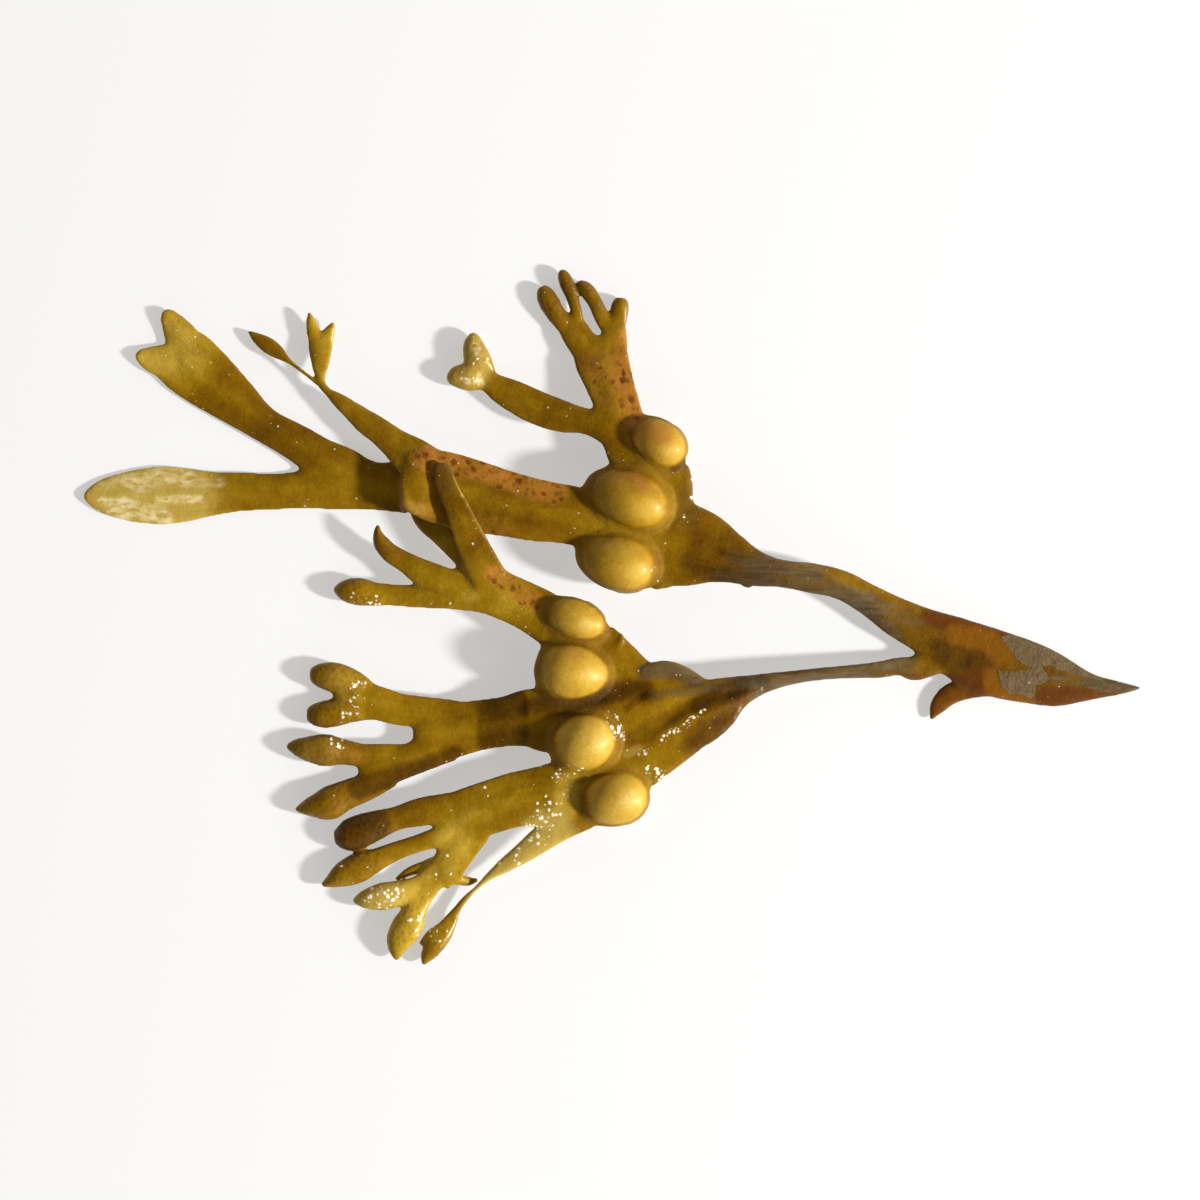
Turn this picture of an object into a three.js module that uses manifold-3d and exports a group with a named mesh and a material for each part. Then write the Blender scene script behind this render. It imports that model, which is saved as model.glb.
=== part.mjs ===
// A sprig of bladderwrack lying on a flat surface, z = 0. The torn foot of its stipe points along +X and the
// tips of its blades lie towards -X. Every stretch of frond is a strap: a flattened section with a midrib on
// both faces, carried through a few stations from base to tip. The gas bladders are egg shapes that swell out
// of the frond.
import * as THREE from "three";
import { mergeVertices } from "three/addons/utils/BufferGeometryUtils.js";
import Module from "manifold-3d";

// Driving dimensions, in millimetres
const BLADE_HALF = 0.45; // half the thickness of a plain blade, beside its midrib
const MIDRIB = 0.5; // height of a full midrib above the blade, on each face
const MIDRIB_REACH = 1.4; // distance from the centre line over which the midrib slopes away
const MIDRIB_FULL_WIDTH = 8; // straps narrower than this have a lower midrib
const MIDRIB_GONE = 1.3; // half thickness at which a swollen strap has no midrib left
const SHOULDER = 0.45; // where the section turns from the midrib to the edge, as a share of half the width
const PARTING = 0.3; // gap between two pieces where a strap is parted beyond a fork
const BLADDER_DEPTH = 0.95; // height of a bladder, as a share of its width
const BLADDER_BLUNT = 0.12; // how much fuller a bladder is towards its base than towards its tip
const BLADDER_SIDES = 12;
const BLADDER_RINGS = 8;
const GROUND = { length: 220, width: 160, depth: 20 }; // levelled off, below the surface the sprig lies on

// The forks: the station across which a strap is parted, and the heading of the strap there, in degrees from
// +X towards +Y. A station is x, y, the height of its middle and its width, then half its thickness where it
// isn't a plain blade's, and its roll about its own run in degrees where it isn't level.
const FORK = {
  upper_stem: { station: [45.4, 0.2, 2.6, 6.6, 0.8], heading: 150 },
  lower_stem: { station: [45.8, -7.7, 2.4, 3, 0.6], heading: 180 },
  long_blade: { station: [-7, 16.5, 4.7, 9.9, 0.5], heading: 170 },
  hand_twig: { station: [0.6, 34.6, 3.9, 7.8], heading: 106 },
  heart_twig: { station: [-4.2, 31.4, 3.7, 4.6], heading: 167 },
  left_blade: { station: [-35.5, 21, 1.9, 8.5], heading: 180 },
  narrow_blade: { station: [-36.8, 29.6, 3.1, 4.7], heading: 144 },
  upper_left_blade: { station: [-50.4, 28, 0.6, 6.4], heading: 149 },
  top_branch: { station: [-11.8, 0.9, 4.5, 8.3, 0.5], heading: 151 },
  middle_branch: { station: [-13.4, -16, 4.3, 9.9, 0.5], heading: 180 },
  bottom_branch: { station: [-15.5, -29, 4, 9.3, 0.5], heading: 193 },
  thin_blade: { station: [-11.4, -35.4, 3.4, 4.6], heading: 216 },
};

// The pieces. A strap lists its stations from base to tip. Its from and to name the fork that it starts or
// ends at.
const STIPE = [
  {
    name: "foot",
    to: "upper_stem",
    stations: [
      [84.5, -11.2, 0.5, 0.4, 0.4], [81.3, -11.2, 0.6, 2.1, 0.7], [76.5, -11, 0.9, 4.6, 0.9],
      [71.7, -10.2, 1.1, 8.3, 1.1], [66.9, -8.8, 1.4, 10.1, 1.2], [62.1, -7.5, 1.7, 10.9, 1.2],
      [57.6, -5.9, 1.9, 10.7, 1.1], [53.8, -4, 2.1, 9.4, 1], [49.6, -1.9, 2.3, 7.5, 0.9],
    ],
  },
  {
    name: "lower_fork",
    to: "lower_stem",
    stations: [
      [62.1, -8, 1.7, 8.3, 0.9], [56.5, -7, 1.9, 4.6, 0.8], [52.2, -7.4, 2.1, 4, 0.7],
      [48.3, -8, 2.2, 4.3, 0.7],
    ],
  },
  {
    name: "spur",
    stations: [
      [62.1, -10.2, 1.5, 5.1, 0.7], [57.6, -11, 1.3, 3.7, 0.6], [54.2, -12.3, 1.1, 3.4, 0.5],
      [52.2, -14.1, 0.9, 2.7], [51, -16.2, 0.7, 0.5],
    ],
  },
];

const UPPER_STEM = [
  {
    name: "stem",
    from: "upper_stem",
    to: "long_blade",
    stations: [
      [41, 2.9, 3.1, 5.3, 0.8], [36.5, 5.3, 3.6, 5, 0.8], [31.7, 6.4, 4, 5.1, 0.8],
      [27.5, 7, 4.3, 4.6, 0.8], [24.6, 7.5, 4.5, 5.4, 0.8], [21.8, 8.3, 4.6, 6.6, 0.8],
      [18.6, 9.6, 4.7, 8.8, 0.7], [15, 11, 4.8, 11.8, 0.7], [10.9, 12, 4.8, 13.8, 0.7],
      [5.3, 12.8, 4.8, 15.7, 0.7], [-0.3, 15, 4.8, 11.5, 0.6], [-3.5, 15.7, 4.8, 10.2, 0.5],
    ],
  },
  {
    name: "twig_root",
    to: "hand_twig",
    stations: [
      [11.5, 11.2, 4.8, 4.5, 0.6], [9, 17, 4.8, 9, 0.6], [6.9, 22.4, 4.7, 11.8, 0.6],
      [3.8, 26.9, 4.5, 10.2, 0.5], [1.6, 30.9, 4.2, 8.3],
    ],
  },
  {
    name: "heart_root",
    to: "heart_twig",
    stations: [[2.6, 28.5, 4.5, 8.3, 0.5], [-0.6, 30.4, 4.2, 6.1]],
  },
];

const LONG_BLADE = [
  {
    name: "blade",
    from: "long_blade",
    to: "left_blade",
    stations: [
      [-11.5, 17.1, 4.6, 10.4], [-16.3, 18.1, 4.5, 11], [-21.1, 19.2, 4.4, 11.8],
      [-25.9, 20.5, 4.3, 12.3], [-29.9, 21.3, 4, 11.8], [-33.1, 21.3, 3.2, 10.2],
    ],
  },
  {
    name: "narrow_root",
    to: "narrow_blade",
    stations: [[-27.5, 22.4, 4.2, 7.7], [-31.7, 25.6, 3.8, 7], [-34.6, 27.8, 3.4, 5.4]],
  },
];

const LEFT_BLADE = [
  {
    name: "blade",
    from: "left_blade",
    stations: [
      [-37.9, 21.1, 1.2, 8.2], [-41.6, 21.6, 0.8, 9], [-45.9, 21.1, 0.6, 8], [-50.2, 20.5, 0.5, 6.4],
      [-55, 20.2, 0.45, 6.3], [-59.5, 20.2, 0.4, 6.7], [-63.7, 19.9, 0.4, 7.5], [-67.8, 19.7, 0.4, 9],
      [-72.3, 19.6, 0.4, 9.8], [-77.1, 19.5, 0.4, 8.6], [-81, 19.5, 0.4, 6.4], [-83.2, 19.5, 0.45, 4],
      [-84.5, 19.5, 0.5, 0.8],
    ],
  },
  {
    name: "side_root",
    to: "upper_left_blade",
    stations: [[-39.5, 21.4, 1, 8], [-43.5, 23.5, 0.8, 8.6], [-47, 25.8, 0.7, 7]],
  },
];

const UPPER_LEFT_BLADE = [
  {
    name: "blade",
    from: "upper_left_blade",
    stations: [
      [-55.7, 31, 0.55, 6.1], [-60.2, 34.6, 0.5, 8.2], [-64.5, 38.1, 0.5, 10.1], [-68, 41, 0.5, 10.9],
      [-70.1, 42.7, 0.55, 9.9],
    ],
  },
  {
    name: "upper_lobe",
    stations: [
      [-66.6, 41, 0.5, 7], [-68.5, 44.3, 0.5, 6.1], [-70.1, 46.9, 0.7, 4.5], [-71.2, 48.5, 1, 2.6],
      [-71.7, 49.1, 1.2, 0.8],
    ],
  },
  {
    name: "lower_lobe",
    stations: [
      [-67.8, 39.4, 0.5, 6.4], [-70.9, 40.8, 0.5, 5.9], [-73.6, 41.4, 0.6, 4.8],
      [-75.4, 41.8, 0.8, 2.7], [-76.2, 41.8, 1, 0.8],
    ],
  },
];

const NARROW_BLADE = [
  {
    name: "lance",
    from: "narrow_blade",
    stations: [
      [-39.4, 31.4, 2.8, 4.3], [-41.9, 33.4, 2.6, 3.2], [-44.2, 35.2, 2.5, 2.1],
      [-45.9, 36.6, 2.4, 0.9], [-48.3, 38.5, 2.2, 0.7], [-50.4, 40.1, 2, 0.7], [-51.7, 41.1, 1.8, 1],
      [-53.3, 42.4, 1.5, 2.2], [-55, 43.6, 1.3, 2.7], [-56.8, 44.8, 1.1, 1.8], [-58.2, 45.9, 1, 0.3],
    ],
  },
  {
    name: "forked_tip",
    stations: [
      [-45, 35.7, 2.4, 1.3], [-46.4, 37.4, 2.4, 1.4], [-46.6, 39, 2.2, 2], [-46.6, 41.1, 1.9, 3.4],
      [-46.6, 43.5, 1.5, 4.3], [-46.6, 45.3, 1.4, 4.2],
    ],
  },
  {
    name: "left_prong",
    stations: [
      [-47, 43.5, 1.5, 3.2], [-47.8, 46.1, 1.4, 2.2], [-48.2, 47.8, 1.6, 1.4], [-48.4, 48.9, 1.8, 0.4],
    ],
  },
  {
    name: "right_prong",
    stations: [
      [-46.1, 43.5, 1.5, 3.2], [-45.4, 45.4, 1.4, 2.2], [-44.8, 46.6, 1.5, 1.3],
      [-44.6, 47.3, 1.6, 0.4],
    ],
  },
];

const HAND_TWIG = [
  {
    name: "palm",
    from: "hand_twig",
    stations: [[-0.5, 37.8, 3.2, 8.3], [-1.6, 41, 2.5, 9.1], [-2.4, 43, 2.1, 8.6]],
  },
  {
    name: "left_part",
    stations: [[-1.9, 41, 2.5, 7], [-4.6, 43.8, 1.8, 5.4], [-6.2, 46.2, 1.4, 5], [-7, 47.7, 1.3, 4.2]],
  },
  {
    name: "first_finger",
    stations: [
      [-6.2, 46.1, 1.4, 4.2], [-8.3, 48.3, 1.2, 3.5, 1], [-9.6, 50.4, 1.2, 3.7, 1.2],
      [-10.6, 52, 1.2, 2.6, 1], [-11.2, 52.9, 1.2, 0.8, 0.4],
    ],
  },
  {
    name: "second_finger",
    stations: [
      [-5.8, 46.1, 1.5, 3.2], [-6.1, 48.8, 1.5, 2.5], [-6.9, 51.4, 1.4, 2.6, 0.9],
      [-7.5, 53.4, 1.4, 2.1, 1], [-8, 55.4, 1.4, 0.6, 0.4],
    ],
  },
  {
    name: "right_part",
    stations: [[-1, 40.6, 2.5, 7], [0.2, 43.7, 1.9, 5], [0.2, 46.4, 1.5, 4.2], [-0.2, 48, 1.3, 3.8]],
  },
  {
    name: "third_finger",
    stations: [
      [-0.3, 45.8, 1.6, 2.9], [-1.8, 48.5, 1.4, 2.6], [-2.7, 50.4, 1.4, 2.4, 0.9],
      [-4, 52.2, 1.4, 2.3, 1], [-5.6, 53.3, 1.4, 0.8, 0.4],
    ],
  },
  {
    name: "fourth_finger",
    stations: [
      [0.6, 45.8, 1.5, 3], [1.1, 48.5, 1.3, 2.8], [1.4, 50.2, 1.2, 2.2, 0.9], [1.4, 51.2, 1.2, 1, 0.5],
    ],
  },
];

const HEART_TWIG = [
  {
    name: "blade",
    from: "heart_twig",
    stations: [
      [-8, 32.2, 3.2, 5.6], [-11.8, 33.5, 2.6, 5.9], [-15.4, 35.3, 2.1, 5.6], [-17.9, 36.6, 1.8, 4.8],
      [-19.8, 37.9, 1.7, 3.8], [-21.4, 39.5, 1.7, 4.8, 1.4],
    ],
  },
  {
    name: "upper_lobe",
    stations: [
      [-20.5, 38.4, 1.7, 4.5, 1.2], [-21.4, 41, 1.8, 4.6, 1.7], [-22.1, 43.4, 1.7, 3.7, 1.5],
      [-22.2, 44.8, 1.6, 2.4, 1.1], [-22.3, 45.6, 1.6, 0.8, 0.4],
    ],
  },
  {
    name: "left_lobe",
    stations: [
      [-20.2, 38.1, 1.7, 3.5, 1.2], [-22.6, 38.4, 1.8, 4.5, 1.7], [-24.5, 38.6, 1.7, 4, 1.5],
      [-25.8, 38.6, 1.6, 2.7, 1.1], [-26.4, 38.7, 1.6, 1, 0.4],
    ],
  },
];

const LOWER_STEM = [
  {
    name: "stem",
    from: "lower_stem",
    stations: [
      [42.9, -8.2, 2.7, 3.2, 0.5, -25], [39, -8.5, 2.9, 3.2, 0.5, -45],
      [34.6, -8.8, 3.1, 3.2, 0.5, -55], [30.1, -9.3, 3.3, 3.4, 0.5, -55],
      [25.6, -10.1, 3.5, 3.8, 0.5, -40], [22.4, -11, 3.8, 4.4, 0.5, -20], [19.5, -12.3, 4.2, 5.8, 0.6],
      [16.6, -14.1, 4.4, 8.6, 0.7], [13.4, -15.4, 4.6, 10.9, 0.7], [9, -16, 4.6, 13.6, 0.7],
    ],
  },
  {
    name: "top_root",
    to: "top_branch",
    stations: [
      [16.6, -11.8, 4.5, 3.2, 0.6], [12.5, -11.5, 4.6, 5.4, 0.6], [8, -10.9, 4.6, 6.4, 0.7],
      [4.5, -9.9, 4.6, 6.9, 0.7], [1, -7.4, 4.6, 8, 0.7], [-2.9, -4.3, 4.6, 8.8, 0.6],
      [-7.4, -1.6, 4.6, 9.3, 0.6],
    ],
  },
  {
    name: "bladder_web",
    stations: [
      [6.1, -11.5, 4.6, 7.7, 0.7], [0, -9.6, 4.6, 10.9, 0.7], [-6.1, -8, 4.6, 11.5, 0.7],
      [-10.2, -7.5, 4.5, 8.3, 0.6], [-12.3, -7.4, 4.5, 4.2],
    ],
  },
  {
    name: "middle_root",
    to: "middle_branch",
    stations: [
      [12.5, -14.4, 4.6, 8, 0.7], [6.1, -15, 4.6, 11.5, 0.7], [-0.3, -15.7, 4.6, 14.1, 0.7],
      [-6.7, -16.3, 4.5, 12.8, 0.6], [-10.7, -16.2, 4.4, 10.9, 0.5],
    ],
  },
  {
    name: "bottom_root",
    to: "bottom_branch",
    stations: [
      [17.9, -14.4, 4.5, 5.1, 0.6], [14.1, -16.6, 4.6, 7, 0.7], [9.6, -19.8, 4.6, 7.8, 0.7],
      [5.3, -22.4, 4.6, 9, 0.7], [-0.3, -25, 4.6, 12.8, 0.7], [-5.9, -27.4, 4.5, 11.8, 0.6],
      [-10.7, -28.3, 4.3, 10.2, 0.5],
    ],
  },
  {
    name: "thin_root",
    to: "thin_blade",
    stations: [[2.1, -26.9, 4.5, 7.7, 0.6], [-3.5, -30.1, 4.2, 7, 0.5], [-8, -33, 3.8, 5.4]],
  },
];

const TOP_BRANCH = [
  {
    name: "blade",
    from: "top_branch",
    stations: [[-14.7, 2.4, 4.4, 8], [-17.9, 3.8, 4.4, 8], [-20.8, 5.3, 4.4, 8]],
  },
  {
    name: "long_finger",
    stations: [
      [-16.6, 3.5, 4.4, 7.7], [-21.4, 3.7, 4, 6.1], [-26.2, 3.5, 3.4, 4.6], [-31, 3.5, 2.8, 4.1],
      [-35.2, 3.7, 2.3, 3.8], [-37.8, 3.8, 2, 4, 1], [-40.3, 4.2, 1.9, 4.6, 1.6],
      [-42.6, 4.4, 1.7, 3.8, 1.5], [-43.8, 4.5, 1.6, 2.2, 1], [-44.5, 4.5, 1.6, 0.6, 0.4],
    ],
  },
  {
    name: "curled_finger",
    stations: [
      [-21.4, 4.8, 4.2, 5.1], [-25.9, 6.6, 3.8, 4.3], [-29.9, 8, 3.4, 3.7], [-33.1, 9.2, 3.1, 3.4],
      [-35.4, 10.4, 3.1, 3.2, 0.9], [-36.8, 12, 3.3, 2.7, 1], [-37.4, 13.6, 3.7, 1.5, 0.7],
      [-37.3, 14.9, 4.1, 0.5, 0.3],
    ],
  },
  {
    name: "over_finger",
    stations: [
      [-17.9, 3.8, 4.5, 5.8], [-20.5, 8.3, 5.3, 5.8], [-22.4, 12.3, 6.1, 5.3], [-24, 16.5, 6.5, 4.3],
      [-25.4, 19.7, 6.6, 3.5], [-26.6, 22.2, 6.5, 2.7, 0.8], [-27.1, 24.3, 6.3, 0.6, 0.3],
    ],
  },
  {
    name: "under_finger",
    stations: [
      [-19.5, 5.4, 4.3, 6.4], [-23.4, 9.1, 3.3, 5.8], [-26.9, 12.6, 2.1, 5.3], [-29.8, 15.7, 1.4, 4.2],
      [-32, 17.9, 1.1, 3], [-33.4, 19.2, 1, 1],
    ],
  },
];

const MIDDLE_BRANCH = [
  {
    name: "blade",
    from: "middle_branch",
    stations: [
      [-17, -16.5, 4, 8.6], [-21.1, -17.1, 3.5, 8.6], [-25.1, -17.8, 3.1, 9.4],
      [-28.2, -18.1, 2.8, 9.9],
    ],
  },
  {
    name: "upper_prong",
    stations: [
      [-25.1, -16, 3.1, 6.4], [-29.9, -15, 2.7, 5.4], [-33.9, -14.6, 2.4, 5.6],
      [-37.1, -13.7, 2.2, 5.9], [-39.7, -13.4, 2, 5.9],
    ],
  },
  {
    name: "first_tip",
    stations: [
      [-38.4, -12.6, 2.1, 4.2], [-41.6, -10.9, 1.9, 4.2, 1.2], [-44, -9.7, 1.8, 4.5, 1.7],
      [-46.2, -9.1, 1.7, 3.5, 1.5], [-47.5, -8.8, 1.6, 2.4, 1.1], [-48.2, -8.6, 1.6, 1, 0.4],
    ],
  },
  {
    name: "second_tip",
    stations: [
      [-38.4, -14.4, 2.1, 3.8], [-41.3, -14.9, 1.9, 3.7, 1.2], [-43.8, -15.1, 1.8, 4.5, 1.7],
      [-46.1, -15.4, 1.7, 4.3, 1.6], [-47.7, -15.4, 1.6, 3, 1.1], [-48.6, -15.4, 1.6, 1.1, 0.4],
    ],
  },
  {
    name: "lower_prong",
    stations: [
      [-25.6, -20.2, 3, 5.8], [-30.4, -21.8, 2.6, 5.4], [-34.4, -23.4, 2.3, 5.9],
      [-38.1, -24.6, 2, 6.6],
    ],
  },
  {
    name: "third_tip",
    stations: [
      [-35.8, -22.7, 2.2, 4.5], [-40, -21.8, 2, 4], [-42.9, -21.4, 1.9, 4.3, 1.2],
      [-45.8, -21.1, 1.9, 5.4, 1.8], [-48.5, -20.9, 1.8, 4.3, 1.6], [-50.6, -20.6, 1.6, 2.7, 1.1],
      [-52, -20.5, 1.6, 0.8, 0.4],
    ],
  },
  {
    name: "fourth_tip",
    stations: [
      [-35.2, -25, 2.2, 4.5], [-39, -26.9, 2, 4.8], [-42.6, -28.4, 1.9, 5.1, 1.2],
      [-45.3, -29.6, 1.9, 5.6, 1.8], [-47.8, -30.1, 1.8, 3.7, 1.5], [-49.4, -30.4, 1.6, 2.1, 1],
      [-50.6, -30.6, 1.5, 0.6, 0.4],
    ],
  },
];

const BOTTOM_BRANCH = [
  {
    name: "blade",
    from: "bottom_branch",
    stations: [[-19.5, -30.2, 3.6, 9.1], [-23.2, -31.5, 3.2, 9.1], [-25.9, -33, 2.9, 9]],
  },
  {
    name: "dark_finger",
    stations: [
      [-21.8, -29.8, 3.3, 5.8], [-26.2, -30.2, 2.9, 5], [-30.7, -31, 2.5, 5], [-34.4, -32, 2.2, 4.2],
      [-37.4, -33.1, 2, 5, 1.3], [-40.3, -34.1, 1.9, 5.8, 1.8], [-42.4, -34.5, 1.8, 4.8, 1.6],
      [-43.8, -34.6, 1.6, 2.7, 1.1], [-44.6, -34.8, 1.6, 1, 0.4],
    ],
  },
  {
    name: "second_finger",
    stations: [
      [-23.4, -33.6, 3.1, 4.8], [-26.9, -34.7, 2.7, 3.8], [-30.7, -35.9, 2.3, 3.1],
      [-34.2, -37.1, 2, 3.3], [-37.4, -38.5, 1.9, 3.8, 1.2], [-40.3, -39.8, 1.8, 5, 1.6],
      [-43, -41, 1.7, 4.3, 1.5], [-45, -42.1, 1.5, 2.2, 1], [-46.4, -42.7, 1.4, 0.6, 0.4],
    ],
  },
  {
    name: "trunk",
    stations: [
      [-22.4, -33.3, 3.1, 7.4], [-24.3, -36.5, 2.7, 6.4], [-26.1, -39.4, 2.4, 5.9],
      [-28.2, -41.9, 2.1, 5.4],
    ],
  },
  {
    name: "third_finger",
    stations: [
      [-27.8, -41, 2.2, 4.2], [-31, -42.9, 2, 3.8], [-34.2, -44, 1.9, 4.3, 1.3],
      [-36.8, -44.5, 1.8, 4.6, 1.6], [-39.2, -44.9, 1.7, 3.4, 1.4], [-40.6, -45.1, 1.5, 1.9, 0.9],
      [-41.4, -45.2, 1.5, 0.6, 0.4],
    ],
  },
  {
    name: "fourth_finger",
    stations: [
      [-28.2, -41.3, 2.2, 4.5], [-30.1, -44.2, 2, 3.7], [-31.5, -46.6, 1.9, 3.5, 1.2],
      [-32.6, -49.1, 1.8, 4.5, 1.6], [-33.7, -51.5, 1.7, 4, 1.5], [-34.2, -53.3, 1.5, 2.4, 1],
      [-34.4, -54.7, 1.4, 0.6, 0.4],
    ],
  },
  {
    name: "back_finger",
    stations: [
      [-26.9, -38.7, 1.9, 2.9], [-29.8, -39.7, 1.3, 2.1], [-32.3, -40.5, 1, 1.6],
      [-34.6, -41.8, 0.8, 0.6],
    ],
  },
  {
    name: "side_spur",
    stations: [
      [-27.2, -41, 1.9, 2.9], [-24.6, -41.8, 1.3, 1.8], [-22.6, -42.1, 1.1, 1.4],
      [-21.1, -41.8, 1, 0.5],
    ],
  },
];

const THIN_BLADE = [
  {
    name: "blade",
    from: "thin_blade",
    stations: [
      [-14.1, -37.4, 3, 3.8], [-17, -39.4, 2.5, 2.6], [-19.4, -41.1, 2.1, 1.5],
      [-21.4, -42.9, 1.7, 0.8], [-23.4, -44.8, 1.4, 1], [-24.8, -46.6, 1.3, 1.3],
      [-25.9, -48.5, 1.3, 2.4], [-27.2, -50.6, 1.4, 3.4, 1], [-28.5, -52.5, 1.4, 3.1, 1.2],
      [-29.6, -54.1, 1.3, 2.2, 0.9], [-30.2, -55.4, 1.2, 0.6, 0.4],
    ],
  },
  {
    name: "side_tip",
    stations: [
      [-26.6, -49.3, 1.4, 1.9], [-28.6, -50.6, 1.4, 2.2, 1], [-30.1, -51.7, 1.3, 1.6, 0.8],
      [-31, -52.2, 1.2, 0.6, 0.4],
    ],
  },
];

// The bladders: the centre, the length and width seen from above, and the turn of the long axis from +X
const UPPER_BLADDERS = [
  { centre: [7.8, 27.8, 4.4], length: 9.3, width: 7.5, turn: -38 },
  { centre: [3, 19, 4.5], length: 13.8, width: 9.6, turn: -22 },
  { centre: [1.3, 8.8, 4.4], length: 13.1, width: 9.4, turn: -4 },
];
const LOWER_BLADDERS = [
  { centre: [-5.4, -0.2, 4.6], length: 9.8, width: 6.7, turn: -20 },
  { centre: [-6.1, -8.6, 4.4], length: 12.2, width: 9.4, turn: -6 },
  { centre: [-4.3, -19.8, 4.5], length: 10.9, width: 9.6, turn: 20 },
  { centre: [0.3, -28.8, 4.2], length: 11.7, width: 9.1, turn: 12 },
];

// Every piece, with the colour of its wet skin
const PIECES = [
  { name: "stipe", straps: STIPE, bladders: [], colour: 0x6f4318 },
  { name: "upper_stem", straps: UPPER_STEM, bladders: UPPER_BLADDERS, colour: 0x86651c },
  { name: "long_blade", straps: LONG_BLADE, bladders: [], colour: 0x7d5a08 },
  { name: "left_blade", straps: LEFT_BLADE, bladders: [], colour: 0x8a6a14 },
  { name: "upper_left_blade", straps: UPPER_LEFT_BLADE, bladders: [], colour: 0x947416 },
  { name: "narrow_blade", straps: NARROW_BLADE, bladders: [], colour: 0x7c6014 },
  { name: "hand_twig", straps: HAND_TWIG, bladders: [], colour: 0x85610a },
  { name: "heart_twig", straps: HEART_TWIG, bladders: [], colour: 0x8c6c12 },
  { name: "lower_stem", straps: LOWER_STEM, bladders: LOWER_BLADDERS, colour: 0x86641a },
  { name: "top_branch", straps: TOP_BRANCH, bladders: [], colour: 0x80600a },
  { name: "middle_branch", straps: MIDDLE_BRANCH, bladders: [], colour: 0x84640a },
  { name: "bottom_branch", straps: BOTTOM_BRANCH, bladders: [], colour: 0x84620a },
  { name: "thin_blade", straps: THIN_BLADE, bladders: [], colour: 0xa08a48 },
];
const WET_ROUGHNESS = 0.35;

const wasm = await Module();
wasm.setup();

// A closed geometry as a solid that can be joined and cut.
function solid(geometry) {
  geometry.deleteAttribute("normal");
  geometry.deleteAttribute("uv");
  const merged = mergeVertices(geometry, 1e-4);
  return new wasm.Manifold(
    new wasm.Mesh({
      numProp: 3,
      vertProperties: new Float32Array(merged.attributes.position.array),
      triVerts: new Uint32Array(merged.index.array),
    }),
  );
}

// The two heights of the section at a station: on the centre line, and at the shoulder beside the midrib.
function sectionHeights(width, half) {
  const body = Math.min(half, 0.4 * width + 0.1);
  const room = THREE.MathUtils.clamp((MIDRIB_GONE - half) / (MIDRIB_GONE - BLADE_HALF), 0, 1);
  const rib = MIDRIB * Math.min(1, width / MIDRIB_FULL_WIDTH) * room;
  const away = (SHOULDER * width) / 2 / MIDRIB_REACH;
  const middle = body + rib;
  const shoulder = body * Math.sqrt(1 - SHOULDER ** 2) + rib * Math.exp(-(away ** 2));
  return { middle, shoulder };
}

// The eight corners of the section at one station, going round it, in a frame that runs along the strap.
function sectionRing([x, y, z, width, half = BLADE_HALF, roll = 0], run) {
  const along = run.clone().normalize();
  const across = new THREE.Vector3(0, 0, 1).cross(along).normalize();
  across.applyAxisAngle(along, THREE.MathUtils.degToRad(roll));
  const up = along.clone().cross(across);
  const { middle, shoulder } = sectionHeights(width, half);
  const corners = [
    [-1, 0],
    [-SHOULDER, shoulder],
    [0, middle],
    [SHOULDER, shoulder],
    [1, 0],
    [SHOULDER, -shoulder],
    [0, -middle],
    [-SHOULDER, -shoulder],
  ];
  return corners.map(([share, height]) =>
    new THREE.Vector3(x, y, z).addScaledVector(across, (share * width) / 2).addScaledVector(up, height),
  );
}

// A fork's station, moved half the parting gap along its heading, and that heading as a direction.
function forkEnd(name, side) {
  const { station, heading } = FORK[name];
  const angle = THREE.MathUtils.degToRad(heading);
  const run = new THREE.Vector3(Math.cos(angle), Math.sin(angle), 0);
  const shift = (side * PARTING) / 2;
  const [x, y, ...rest] = station;
  return { station: [x + shift * run.x, y + shift * run.y, ...rest], run };
}

// The closed surface of one strap: a ring at each station, skinned, with a flat end at both ends.
function strapGeometry({ stations, from, to }) {
  const start = from && forkEnd(from, 1);
  const end = to && forkEnd(to, -1);
  const all = [...(start ? [start.station] : []), ...stations, ...(end ? [end.station] : [])];
  const points = all.map(([x, y, z]) => new THREE.Vector3(x, y, z));
  const last = points.length - 1;
  const rings = all.map((station, i) => {
    const before = points[Math.max(i - 1, 0)];
    const after = points[Math.min(i + 1, last)];
    const fixed = (i === 0 && start) || (i === last && end);
    return sectionRing(station, fixed ? fixed.run : after.clone().sub(before));
  });
  const sides = rings[0].length;
  const index = [];
  for (let i = 0; i < last; i++) {
    for (let j = 0; j < sides; j++) {
      const a = i * sides + j;
      const b = i * sides + ((j + 1) % sides);
      index.push(a, a + sides, b, b, a + sides, b + sides);
    }
  }
  for (let j = 1; j < sides - 1; j++) {
    index.push(0, j, j + 1);
    index.push(last * sides, last * sides + j + 1, last * sides + j);
  }
  const geometry = new THREE.BufferGeometry().setFromPoints(rings.flat());
  geometry.setIndex(index);
  return geometry;
}

// An egg that lies along its long axis, fuller at the end towards the base of the sprig.
function bladderGeometry({ centre, length, width, turn }) {
  const geometry = new THREE.SphereGeometry(1, BLADDER_SIDES, BLADDER_RINGS);
  geometry.rotateZ(Math.PI / 2);
  const position = geometry.attributes.position;
  for (let i = 0; i < position.count; i++) {
    const fullness = 1 + BLADDER_BLUNT * position.getX(i);
    position.setY(i, position.getY(i) * fullness);
    position.setZ(i, position.getZ(i) * fullness);
  }
  geometry.scale(length / 2, width / 2, (BLADDER_DEPTH * width) / 2);
  geometry.rotateZ(THREE.MathUtils.degToRad(turn));
  geometry.translate(...centre);
  return geometry;
}

// What would sink into the surface that the sprig lies on.
function groundSolid() {
  const box = new THREE.BoxGeometry(GROUND.length, GROUND.width, GROUND.depth);
  box.translate(0, 0, -GROUND.depth / 2);
  return solid(box);
}

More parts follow.
